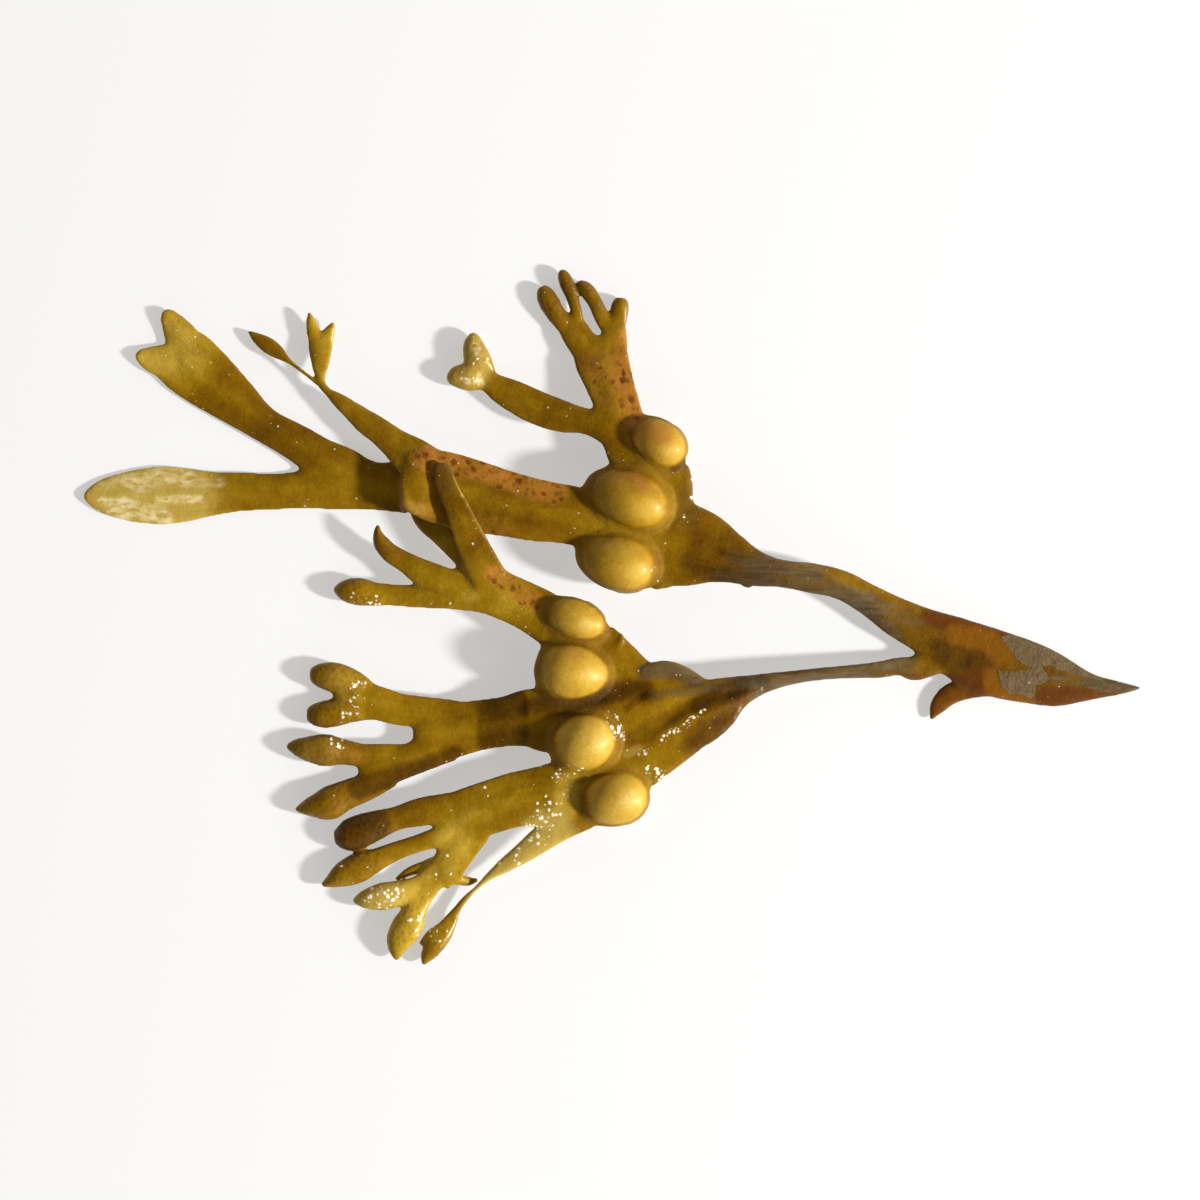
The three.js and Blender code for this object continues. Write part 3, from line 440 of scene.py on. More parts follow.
# %% The thin blade's stations
grow("thin_blade", "blade", start="thin_blade", stations=[
    (-14.1, -37.4, 3, 3.8), (-17, -39.4, 2.5, 2.6), (-19.4, -41.1, 2.1, 1.5), (-21.4, -42.9, 1.7, 0.8),
    (-23.4, -44.8, 1.4, 1), (-24.8, -46.6, 1.3, 1.3), (-25.9, -48.5, 1.3, 2.4),
    (-27.2, -50.6, 1.4, 3.4, 1), (-28.5, -52.5, 1.4, 3.1, 1.2), (-29.6, -54.1, 1.3, 2.2, 0.9),
    (-30.2, -55.4, 1.2, 0.6, 0.4),
])
grow("thin_blade", "side_tip", stations=[
    (-26.6, -49.3, 1.4, 1.9), (-28.6, -50.6, 1.4, 2.2, 1), (-30, -51.7, 1.3, 1.4, 0.8),
    (-30.8, -52.1, 1.2, 0.5, 0.4),
])
tell("thin_blade")

# %% [markdown]
# ## The bladders
# A gas bladder is a blister that the frond blows up inside itself, an egg with its blunt end to one
# side or the other. Only its place, sizes and turn are stated: the ball itself is made once and set
# down by nodes.

# %% The bladders' places
Bladder = namedtuple("Bladder", "x y z length width turn blunt ripe")
BLADDERS = [
    Bladder(7.5, 28.1, 4.4, 10.1, 7.5, -36, 0.08, 0.6),
    Bladder(2.7, 19.1, 4.5, 14, 9.6, -22, 0.1, 0.48),
    Bladder(0.9, 8.9, 4.4, 13.1, 9.4, -15, 0.12, 0.53),
    Bladder(-5.7, -0.1, 4.6, 10.4, 6.7, -20, -0.02, 0.61),
    Bladder(-6.05, -8.6, 4.4, 12, 9.4, -6, -0.16, 0.62),
    Bladder(-4.4, -19.85, 4.5, 10.7, 9.6, 20, 0.02, 0.72),
    Bladder(0.6, -28.8, 4.2, 11.1, 9.1, 12, 0.06, 0.7),
]
BLADDER_DEPTH = 0.95
print("bladders:", len(BLADDERS))

# %% [markdown]
# ## A stick figure for the nodes to read
# Geometry Nodes can carry a section along a curve. What they need is a stick figure: one vertex at each
# station, an edge from each to the next, and the sizes as named attributes on the vertices. A strap
# that runs on through a fork stays one line, so that no crease shows there.

# %% Lines that run on through forks
RIB_HEIGHT = 0.3
RIB_FULL_WIDTH = 8
RIB_GONE = 1.3
TIP_BEGINS = 0.7
TIP_FULL = 1.3
WIDEST_TIP = 2.5
BURIED_HALF = 0.3
BURIED_DROP = 0.1
STALKS = ("stipe", "upper_stem", "lower_stem")


def share(value, low, high):
    """How far value is on its way from low to high, from 0 to 1."""
    return min(max((value - low) / (high - low), 0), 1)


def runs():
    """Yields each unbroken line of stations, each with the strap that it belongs to."""
    follows = {strap.start: strap for strap in STRAPS if strap.start}
    for strap in STRAPS:
        if strap.start:
            continue
        run = []
        while strap:
            run += [(strap, station) for station in strap.stations]
            if strap.end:
                run.append((strap, FORKS[strap.end][0]))
            strap = follows.get(strap.end)
        yield run


def station_sizes(strap, station, buried):
    """The named attributes at one station, in metres. A buried station ends inside another strap."""
    rib = RIB_HEIGHT * share(station.width, 0, RIB_FULL_WIDTH) * share(station.half, RIB_GONE, PLAIN_HALF)
    swollen = 0 if strap.piece in STALKS else share(station.half, TIP_BEGINS, TIP_FULL)
    return {
        "half_width": station.width / 2 * MM,
        "half_thick": (BURIED_HALF if buried else station.half) * MM,
        "rib": 0 if buried else rib * MM,
        "roll": math.radians(station.roll),
        "ruffle": strap.ruffle * MM,
        "tip": swollen,
        "piece": PIECES.index(strap.piece) + 1,
    }


def add_attributes(mesh, table):
    """Writes a table of named lists of numbers onto a mesh's vertices."""
    for name, values in table.items():
        kind = "FLOAT" if np.ndim(values) == 1 else "FLOAT_VECTOR"
        slot = "value" if kind == "FLOAT" else "vector"
        layer = mesh.attributes.new(name, kind, "POINT")
        layer.data.foreach_set(slot, np.asarray(values, dtype=np.float32).ravel())


def add_object(name, data):
    """A new object in the scene, with this mesh, light or camera as its data."""
    thing = bpy.data.objects.new(name, data)
    bpy.context.scene.collection.objects.link(thing)
    return thing


def stick_figure():
    places, edges, sizes = [], [], []
    for number, run in enumerate(runs()):
        for step, (strap, station) in enumerate(run):
            if step:
                edges.append((len(places) - 1, len(places)))
            ends = (step == 0 and number > 0) or step == len(run) - 1
            buried = ends and station.width > WIDEST_TIP
            drop = BURIED_DROP if buried else 0
            places.append((station.x * MM, station.y * MM, (station.z - drop) * MM))
            sizes.append(station_sizes(strap, station, buried))
    mesh = bpy.data.meshes.new("stick_figure")
    mesh.from_pydata(places, edges, [])
    add_attributes(mesh, {name: [row[name] for row in sizes] for name in sizes[0]})
    return add_object("stick_figure", mesh)


straps = stick_figure()
print("stick figure:", len(straps.data.vertices), "stations,", len(straps.data.edges), "edges")

# %% [markdown]
# ## Wires, a shorthand for node trees
# A formula in nodes is a chain of Math nodes, which is long to write out. A Wire wraps one output
# socket, and arithmetic on wires places the Math nodes and joins them, so the formulas below read as
# formulas. The same shorthand serves geometry trees and shader trees.

# %% A wire, and ways to place nodes


def plug(value, socket):
    """Joins a wire to an input socket, or sets a plain value on it."""
    if isinstance(value, Wire):
        value.tree.links.new(value.socket, socket)
    else:
        socket.default_value = value


def place(tree, kind, inputs=None, **settings):
    """A new node, with its settings made and its inputs plugged in."""
    node = tree.nodes.new(kind)
    for name, value in settings.items():
        setattr(node, name, value)
    for name, value in (inputs or {}).items():
        plug(value, node.inputs[name])
    return node


def made(tree, kind, inputs=None, output=0, **settings):
    """What a new node puts out, as a wire."""
    return Wire(place(tree, kind, inputs, **settings).outputs[output])


def reckon(operation, *values):
    """One Math node."""
    tree = next(value.tree for value in values if isinstance(value, Wire))
    return made(tree, "ShaderNodeMath", dict(enumerate(values)), operation=operation)


class Wire:
    """An output socket to reckon with."""

    def __init__(self, socket):
        self.socket = socket
        self.tree = socket.id_data

    def __add__(self, other):
        return reckon("ADD", self, other)

    def __sub__(self, other):
        return reckon("SUBTRACT", self, other)

    def __rsub__(self, other):
        return reckon("SUBTRACT", other, self)

    def __mul__(self, other):
        return reckon("MULTIPLY", self, other)

    def __truediv__(self, other):
        return reckon("DIVIDE", self, other)

    def __rtruediv__(self, other):
        return reckon("DIVIDE", other, self)

    def __pow__(self, other):
        return reckon("POWER", self, other)

    def ramp(self, low, high, start=0.0, end=1.0):
        """Eases from start to end while this goes from low to high."""
        inputs = {"Value": self, "From Min": low, "From Max": high, "To Min": start, "To Max": end}
        return made(self.tree, "ShaderNodeMapRange", inputs, "Result", interpolation_type="SMOOTHSTEP")


def vectors(operation, *values):
    """One Vector Math node."""
    tree = next(value.tree for value in values if isinstance(value, Wire))
    return made(tree, "ShaderNodeVectorMath", dict(enumerate(values)), "Vector", operation=operation)


def scaled(vector, factor):
    inputs = {0: vector, "Scale": factor}
    return made(vector.tree, "ShaderNodeVectorMath", inputs, "Vector", operation="SCALE")


def split(vector):
    node = place(vector.tree, "ShaderNodeSeparateXYZ", {"Vector": vector})
    return [Wire(socket) for socket in node.outputs]


def joined(tree, x, y, z):
    return made(tree, "ShaderNodeCombineXYZ", {"X": x, "Y": y, "Z": z})


def noise(vector, length, detail=2.0):
    """Smooth noise from -1 to 1, with features about length long."""
    inputs = {"Vector": vector, "Scale": 1 / length, "Detail": detail}
    return made(vector.tree, "ShaderNodeTexNoise", inputs) * 2 - 1


print("wires ready")

# %% [markdown]
# ## Trees with named inputs
# Each geometry tree has its sizes as named inputs, so that one tree could serve a larger or a coarser
# plant. The modifier's inputs are set by socket identifier, because two inputs may share a name. The
# result is then read back as a plain mesh, and the modifier goes.

# %% Starting, ending and using a tree


def new_tree(name, sockets):
    """A geometry tree with these named inputs. Returns it, with a wire for each input."""
    tree = bpy.data.node_groups.new(name, "GeometryNodeTree")
    tree.interface.new_socket("Geometry", in_out="INPUT", socket_type="NodeSocketGeometry")
    tree.interface.new_socket("Geometry", in_out="OUTPUT", socket_type="NodeSocketGeometry")
    for label, kind in {**sockets, "Material": "Material"}.items():
        tree.interface.new_socket(label, in_out="INPUT", socket_type="NodeSocket" + kind)
    entry = tree.nodes.new("NodeGroupInput")
    return tree, {socket.name: Wire(socket) for socket in entry.outputs if socket.name}


def end_tree(tree, geometry, material):
    """Every tree ends by realizing its instances and setting a material."""
    real = made(tree, "GeometryNodeRealizeInstances", {"Geometry": geometry})
    painted = made(tree, "GeometryNodeSetMaterial", {"Geometry": real, "Material": material})
    plug(painted, tree.nodes.new("NodeGroupOutput").inputs[0])


def attribute(tree, name, kind="FLOAT"):
    return made(tree, "GeometryNodeInputNamedAttribute", {"Name": name}, "Attribute", data_type=kind)


def store(geometry, name, value):
    """The geometry, with a value kept on its points under a name."""
    inputs = {"Geometry": geometry, "Name": name, "Value": value}
    return made(geometry.tree, "GeometryNodeStoreNamedAttribute", inputs, data_type="FLOAT", domain="POINT")


def moved(geometry, position=None, offset=None):
    """The geometry, with its points set to a position or shifted by an offset."""
    inputs = {"Geometry": geometry, "Position": position, "Offset": offset}
    used = {name: value for name, value in inputs.items() if value}
    return made(geometry.tree, "GeometryNodeSetPosition", used)


def capture(geometry, **fields):
    """Keeps vector fields as they are on this geometry. Returns the geometry and the kept fields."""
    node = geometry.tree.nodes.new("GeometryNodeCaptureAttribute")
    for name in fields:
        node.capture_items.new("VECTOR", name)
    plug(geometry, node.inputs["Geometry"])
    for name, value in fields.items():
        plug(value, node.inputs[name])
    return [Wire(node.outputs[name]) for name in ("Geometry", *fields)]


def here_on(tree):
    """The position of each point."""
    return made(tree, "GeometryNodeInputPosition")


def settle(thing):
    """Turns what the object's modifiers make into its own plain mesh."""
    graph = bpy.context.evaluated_depsgraph_get()
    mesh = bpy.data.meshes.new_from_object(thing.evaluated_get(graph), depsgraph=graph)
    thing.modifiers.clear()
    thing.data = mesh


def run_tree(thing, tree, values):
    """Puts a tree on an object with these input values, and settles it."""
    modifier = thing.modifiers.new(tree.name, "NODES")
    modifier.node_group = tree
    for item in tree.interface.items_tree:
        if item.in_out == "INPUT" and item.name in values:
            modifier[item.identifier] = values[item.name]
    settle(thing)


frond_skin = bpy.data.materials.new("olive_frond")
print("trees ready")

# %% [markdown]
# ## Sweeping the straps
# The section of a blade is thin, with round edges and a low midrib on both faces, while a swollen tip
# is nearly an ellipse. A bevelled curve can't change its section on the way, so the tree sweeps a plain
# circle and then moves every point of it: cosine of the angle goes across the strap, and the thickness
# there is a formula. Its edges are waved up and down a little, as those of a limp blade are.

# %% The strap tree
LEAST_HALF_WIDTH = 0.15 * MM
THREAD_DEPTH = 0.8
THREAD_SPARE = 0.1 * MM
FLAT_BELOW = 0.25
ROUND_ABOVE = 0.6
FLAT_POWER = 4
ROUND_POWER = 2


def strap_sweep():
    sizes = {"Spacing": "Float", "Rim Points": "Int", "Rib Reach": "Float", "Ruffle Length": "Float"}
    tree, given = new_tree("strap_sweep", sizes)
    curve = made(tree, "GeometryNodeMeshToCurve", {"Mesh": given["Geometry"]})
    smooth = made(tree, "GeometryNodeCurveSplineType", {"Curve": curve}, spline_type="CATMULL_ROM")
    inputs = {"Curve": smooth, "Length": given["Spacing"]}
    even = made(tree, "GeometryNodeResampleCurve", inputs, mode="LENGTH")
    here = here_on(tree)
    gone = made(tree, "GeometryNodeSplineParameter", output="Length")
    run = made(tree, "GeometryNodeInputTangent")
    spine, middle, run, gone = capture(even, middle=here, run=run, gone=gone)
    inputs = {"Resolution": given["Rim Points"], "Radius": 1.0}
    rim, around = capture(made(tree, "GeometryNodeCurvePrimitiveCircle", inputs), around=here)
    inputs = {"Curve": spine, "Profile Curve": rim, "Fill Caps": True}
    tube = made(tree, "GeometryNodeCurveToMesh", inputs)

    across, rise, _ = split(around)
    half_width = reckon("MAXIMUM", attribute(tree, "half_width"), LEAST_HALF_WIDTH)
    half_thick = reckon("MINIMUM", attribute(tree, "half_thick"), half_width * THREAD_DEPTH + THREAD_SPARE)
    plump = (half_thick / half_width).ramp(FLAT_BELOW, ROUND_ABOVE)
    outline = reckon("ABSOLUTE", across) ** (FLAT_POWER - plump * (FLAT_POWER - ROUND_POWER))
    dome = reckon("SQRT", reckon("MAXIMUM", 1 - outline, 0.0))
    hump = reckon("EXPONENT", (across * half_width / given["Rib Reach"]) ** 2 * -1)
    rib = attribute(tree, "rib") * hump
    thick = dome * (half_thick + rib) * reckon("SIGN", rise)
    wave = noise(middle, given["Ruffle Length"]) * attribute(tree, "ruffle") * reckon("SIGN", across)
    bend = across**2 * wave

    level = vectors("NORMALIZE", vectors("CROSS_PRODUCT", (0.0, 0.0, 1.0), run))
    inputs = {"Vector": level, "Axis": run, "Angle": attribute(tree, "roll")}
    side = made(tree, "ShaderNodeVectorRotate", inputs, rotation_type="AXIS_ANGLE")
    up = vectors("CROSS_PRODUCT", run, side)
    edge = vectors("ADD", middle, scaled(side, across * half_width))
    shaped = moved(tube, vectors("ADD", edge, scaled(up, thick + bend)))
    kept = {
        "across": across,
        "side": across * half_width / MM,
        "along": gone / MM,
        "rib": rib / (RIB_HEIGHT * MM),
    }
    for name, value in kept.items():
        shaped = store(shaped, name, value)
    end_tree(tree, shaped, given["Material"])
    return tree


SWEEP = {
    "Spacing": 0.4 * MM,
    "Rim Points": 32,
    "Rib Reach": 1.3 * MM,
    "Ruffle Length": 7 * MM,
    "Material": frond_skin,
}
run_tree(straps, strap_sweep(), SWEEP)
print("swept straps:", len(straps.data.polygons), "faces")

# %% [markdown]
# ## Setting down the bladders
# Seven eggs of different sizes are one ball, set down seven times. The tree makes the ball, and lays a
# flatter copy behind it, where the frond climbs up the bladder. Both are placed on each point, turned
# and scaled by the point's own attributes. Once they are real, each ball is widened towards its blunt
# end.

# %% The bladder tree
SKIRT_MARK = 0.4


def bladder_eggs():
    sizes = {"Fineness": "Int", "Skirt": "Vector", "Skirt Shift": "Vector"}
    tree, given = new_tree("bladder_eggs", sizes)
    inputs = {"Radius": 1.0, "Subdivisions": given["Fineness"]}
    ball = made(tree, "GeometryNodeMeshIcoSphere", inputs, "Mesh")
    inputs = {"Geometry": ball, "Scale": given["Skirt"], "Translation": given["Skirt Shift"]}
    skirt = made(tree, "GeometryNodeTransform", inputs)
    both = tree.nodes.new("GeometryNodeJoinGeometry")
    plug(store(ball, "bladder", 1.0), both.inputs[0])
    plug(store(skirt, "bladder", SKIRT_MARK), both.inputs[0])
    pair, local = capture(Wire(both.outputs[0]), local=here_on(tree))
    turn = attribute(tree, "turn")
    half = attribute(tree, "size", "FLOAT_VECTOR")
    inputs = {
        "Points": given["Geometry"],
        "Instance": pair,
        "Rotation": made(tree, "FunctionNodeEulerToRotation", {"Euler": joined(tree, 0.0, 0.0, turn)}),
        "Scale": half,
    }
    laid = made(tree, "GeometryNodeInstanceOnPoints", inputs)
    real = made(tree, "GeometryNodeRealizeInstances", {"Geometry": laid})
    x, y, z = split(local)
    _, half_width, half_depth = split(half)
    full = x * attribute(tree, "blunt")
    out = y * half_width * full
    shift = out * reckon("SINE", turn) * -1
    swell = joined(tree, shift, out * reckon("COSINE", turn), z * half_depth * full)
    end_tree(tree, moved(real, offset=swell), given["Material"])
    return tree


mesh = bpy.data.meshes.new("bladders")
mesh.from_pydata([(b.x * MM, b.y * MM, b.z * MM) for b in BLADDERS], [], [])
halves = [(b.length / 2 * MM, b.width / 2 * MM, b.width * BLADDER_DEPTH / 2 * MM) for b in BLADDERS]
turns = [math.radians(b.turn) for b in BLADDERS]
add_attributes(mesh, {"size": halves, "turn": turns, "blunt": [b.blunt for b in BLADDERS]})
bladders = add_object("bladders", mesh)
EGG = {
    "Fineness": 6,
    "Skirt": (1.0, 1.02, 0.72),
    "Skirt Shift": (-0.11, 0.0, 0.0),
    "Material": frond_skin,
}
run_tree(bladders, bladder_eggs(), EGG)
print("bladders:", len(bladders.data.polygons), "faces")

# %% [markdown]
# ## Growing everything together
# A plant has no seam where a bladder or a finger leaves the blade. Booleans would leave sharp joints,
# so the overlapping tubes are fused by a voxel remesh, as clay is pressed together. It forgets every
# attribute, so the tubes are kept beside it for the next step to read from.

# %% Fuse straps and bladders
VOXEL = 0.2 * MM

bpy.ops.object.select_all(action="DESELECT")
straps.select_set(True)
bladders.select_set(True)
bpy.context.view_layer.objects.active = straps
bpy.ops.object.join()

frond = add_object("frond", straps.data.copy())
fuse = frond.modifiers.new("fuse", "REMESH")
fuse.mode = "VOXEL"
fuse.voxel_size = VOXEL
fuse.use_smooth_shade = True
settle(frond)
print("fused frond:", len(frond.data.polygons), "faces")

# %% [markdown]
# ## The living surface
# The remesh leaves small steps, and the joint round each bladder is too sharp. Both go by blurring
# positions, which is what a smooth brush does. The tree then reads back, from the tubes, where the
# middle of a strap is and where the tips and bladders are, and raises the warts: on a ripe tip each
# wart is the mouth of a small pit that sheds eggs, so they stand close together there and nowhere else.
# A softened copy of where the bladders are, the collar, marks the crease round each of them, for the
# fillet here and for the material later.

# %% The skin tree
SOFTENED = {"across": 2, "rib": 2, "tip": 8, "bladder": 6, "half_width": 8}
UNSOFTENED = dict.fromkeys(("side", "along", "piece"), 0)
NARROW_HALF = 1.2 * MM
BROAD_HALF = 2.5 * MM
MOST_WARTS = 4 / MM**2


def blurred(value, rounds, kind="FLOAT", weight=1.0):
    inputs = {"Value": value, "Iterations": rounds, "Weight": weight}
    return made(value.tree, "GeometryNodeBlurAttribute", inputs, data_type=kind)


def read_back(geometry, tubes, name, rounds):
    """Stores on geometry what a named attribute is on the nearest point of the tubes, softened."""
    tree = geometry.tree
    inputs = {"Mesh": tubes, "Value": attribute(tree, name), "Sample Position": here_on(tree)}
    found = made(tree, "GeometryNodeSampleNearestSurface", inputs, "Value", data_type="FLOAT")
    return store(geometry, name, blurred(found, rounds) if rounds else found)


def skin_tree():
    rounds = ["Smooth Rounds", "Broad Rounds", "Crease Rounds", "Collar Rounds", "Seed"]
    lengths = ["Grain Length", "Grain Height", "Wart Spacing", "Wart Reach", "Wart Height"]
    sizes = {"Tubes": "Object", **dict.fromkeys(rounds, "Int"), **dict.fromkeys(lengths, "Float")}
    tree, given = new_tree("frond_surface", sizes)
    here = here_on(tree)
    tubes = made(tree, "GeometryNodeObjectInfo", {"Object": given["Tubes"]}, "Geometry")
    skin = given["Geometry"]
    for name, softening in {**SOFTENED, **UNSOFTENED}.items():
        skin = read_back(skin, tubes, name, softening)

    even = moved(skin, blurred(here, given["Smooth Rounds"], "FLOAT_VECTOR"))
    broad = attribute(tree, "half_width").ramp(NARROW_HALF, BROAD_HALF)
    even = moved(even, blurred(here, given["Broad Rounds"], "FLOAT_VECTOR", broad))
    belly = attribute(tree, "bladder")
    collar = blurred(belly, given["Collar Rounds"])
    crease = (collar * (1 - collar) * 4).ramp(0.1, 0.8)
    fillet = vectors("SUBTRACT", blurred(here, given["Crease Rounds"], "FLOAT_VECTOR"), here)
    soft = store(moved(even, offset=scaled(fillet, crease)), "collar", collar)

    ripe = attribute(tree, "tip")
    inputs = {
        "Mesh": soft,
        "Distance Min": given["Wart Spacing"],
        "Density Max": MOST_WARTS,
        "Density Factor": ripe.ramp(0.4, 0.8),
        "Seed": given["Seed"],
    }
    kind = "GeometryNodeDistributePointsOnFaces"
    mouths = made(tree, kind, inputs, "Points", distribute_method="POISSON")
    inputs = {"Geometry": mouths, "Sample Position": here}
    away = made(tree, "GeometryNodeProximity", inputs, "Distance", target_element="POINTS")
    wart = (away / given["Wart Reach"]).ramp(0.0, 1.0, 1.0, 0.0) * ripe.ramp(0.3, 0.7)
    warty = store(soft, "wart", wart)
    grain = noise(here, given["Grain Length"], 3.0) * given["Grain Height"] * (1 - belly)
    height = attribute(tree, "wart") * given["Wart Height"] + grain
    rough = moved(warty, offset=scaled(made(tree, "GeometryNodeInputNormal"), height))

    x, y, z = split(here)
    laid = moved(rough, joined(tree, x, y, reckon("MAXIMUM", z, 0.0)))
    end_tree(tree, laid, given["Material"])
    return tree


SKIN = {
    "Tubes": straps,
    "Smooth Rounds": 4,
    "Broad Rounds": 14,
    "Crease Rounds": 70,
    "Collar Rounds": 40,
    "Grain Length": 2.2 * MM,
    "Grain Height": 0.05 * MM,
    "Wart Spacing": 0.9 * MM,
    "Wart Reach": 0.45 * MM,
    "Wart Height": 0.05 * MM,
    "Seed": 7,
    "Material": frond_skin,
}
run_tree(frond, skin_tree(), SKIN)
bpy.data.objects.remove(straps)
print("frond:", len(frond.data.vertices), "vertices")

# %% [markdown]
# ## Parting the frond at its forks
# The solids are parted at the main forks, so the dressed frond is parted at the same stations. Each cut
# is a flat plane across one strap, and takes only the faces near the fork, so it can't nick a blade
# further on. The two sides keep the same rim, so no gap shows between them. Each island that is left is
# one piece.

# %% Cut the frond across each fork
CUT_MARGIN = 1.2
CUT_LEVEL = 2.2
ON_PLANE = 1e-7


def cut_across(frond_mesh, station, heading):
    """Parts the strap at a station along the plane that faces its heading. Returns the rim's edge count."""
    middle = np.array((station.x, station.y)) * MM
    along = np.array((math.cos(math.radians(heading)), math.sin(math.radians(heading))))
    reach = (station.width / 2 + CUT_MARGIN) * MM
    near = []
    for face in frond_mesh.faces:
        centre = face.calc_center_median()
        if abs(centre.x - middle[0]) < 2 * reach and abs(centre.y - middle[1]) < 2 * reach:
            dx, dy = centre.x - middle[0], centre.y - middle[1]
            far = abs(dx * along[1] - dy * along[0])
            level = abs(centre.z - station.z * MM)
            if far < reach and abs(dx * along[0] + dy * along[1]) < reach and level < CUT_LEVEL * MM:
                near.append(face)
    parts = {part for face in near for part in (*face.verts, *face.edges, face)}
    plane = {"plane_co": (*middle, 0), "plane_no": (*along, 0)}
    cut = bmesh.ops.bisect_plane(frond_mesh, geom=list(parts), dist=ON_PLANE, **plane)
    rim = [part for part in cut["geom_cut"] if isinstance(part, bmesh.types.BMEdge)]
    bmesh.ops.split_edges(frond_mesh, edges=rim)
    return len(rim)


whole = bmesh.new()
whole.from_mesh(frond.data)
rims = {name: cut_across(whole, station, heading) for name, (station, heading) in FORKS.items()}
whole.to_mesh(frond.data)
whole.free()
print("rim edges:", rims)

# %% Separate the islands, and name each after its solid
SMALLEST_ISLAND = 300

bpy.ops.object.select_all(action="DESELECT")
frond.select_set(True)
bpy.context.view_layer.objects.active = frond
bpy.ops.mesh.separate(type="LOOSE")


def read_attribute(mesh, name):
    values = np.empty(len(mesh.vertices), dtype=np.float32)
    mesh.attributes[name].data.foreach_get("value", values)
    return values


def name_islands(islands):
    """Gives each island the name that most of its strap vertices carry. Crumbs are thrown away."""
    named = {}
    for island in islands:
        if len(island.data.vertices) < SMALLEST_ISLAND:
            bpy.data.objects.remove(island)
            continue
        labels = np.rint(read_attribute(island.data, "piece")).astype(int)
        node = PIECES[np.bincount(labels[labels > 0] - 1).argmax()]
        if node in named:
            raise ValueError("two islands belong to " + node)
        island.name = "frond_" + node
        island.data.name = island.name
        named[node] = island
    return named


pieces = name_islands(list(bpy.context.selected_objects))
missing = [node for node in PIECES if node not in pieces]
if missing:
    raise ValueError("no island for " + ", ".join(missing))
print("islands:", {node: len(piece.data.vertices) for node, piece in pieces.items()})

# %% Close each cut with a flat cap


def close_cuts(mesh):
    """Fills the open rims, and keeps a sharp edge there so that the skin beside them stays smooth."""
    body = bmesh.new()
    body.from_mesh(mesh)
    rim = [edge for edge in body.edges if edge.is_boundary]
    caps = bmesh.ops.holes_fill(body, edges=rim, sides=0)["faces"]
    for edge in rim:
        edge.smooth = False
    bmesh.ops.triangulate(body, faces=caps)
    bmesh.ops.recalc_face_normals(body, faces=body.faces)
    open_edges = sum(edge.is_boundary for edge in body.edges)
    body.to_mesh(mesh)
    body.free()
    return open_edges


open_edges = {node: close_cuts(piece.data) for node, piece in pieces.items()}
triangles = {node: sum(len(p.vertices) - 2 for p in piece.data.polygons) for node, piece in pieces.items()}
print("open edges left:", sum(open_edges.values()), "triangles:", sum(triangles.values()), triangles)

# %% [markdown]
# ## Where each tint goes
# A frond isn't one colour. Young tips are yellow, stalks are worn to grey, old skin is spotted with
# rust, and a grey crust of tiny animals sits on the stipe. A texture can't know these places, so each
# is a daub: a line on the sprig and how far the tint reaches from it. The daubs are summed into named
# attributes on the vertices, which the materials read. Noise in the materials frays their edges later.
# Some daubs paint light instead: painted shade and shadows in folds and creases, painted light where
# a shadow falls, and painted highlights, reflections and glints.

# %% Daubs, and how they are laid on
TINY = 1e-9

Daub = namedtuple("Daub", "amount reach fade path pieces", defaults=(None,))


def eased(value, low, high):
    """From 0 to 1 while value goes from low to high, slowing at both ends."""
    way = np.clip((value - low) / (high - low), 0, 1)
    return way * way * (3 - 2 * way)


def distance_to(points, path):
    """How far each point lies from a line through the path's corners, seen from above."""
    best = np.full(len(points), np.inf)
    corners = [np.array(corner, dtype=float) for corner in path]
    for start, end in zip(corners, corners[1:] or corners):
        step = end - start
        along = np.clip((points - start) @ step / max(step @ step, TINY), 0, 1)
        best = np.minimum(best, np.linalg.norm(points - start - along[:, None] * step, axis=1))
    return best


def lay_on(points, node, daubs):
    """The sum of a tint's daubs at each point of one piece."""
    total = np.zeros(len(points))
    for daub in daubs:
        if not daub.pieces or node in daub.pieces:
            total += daub.amount * eased(distance_to(points, daub.path), daub.reach + daub.fade, daub.reach)
    return total


print("daubs ready")
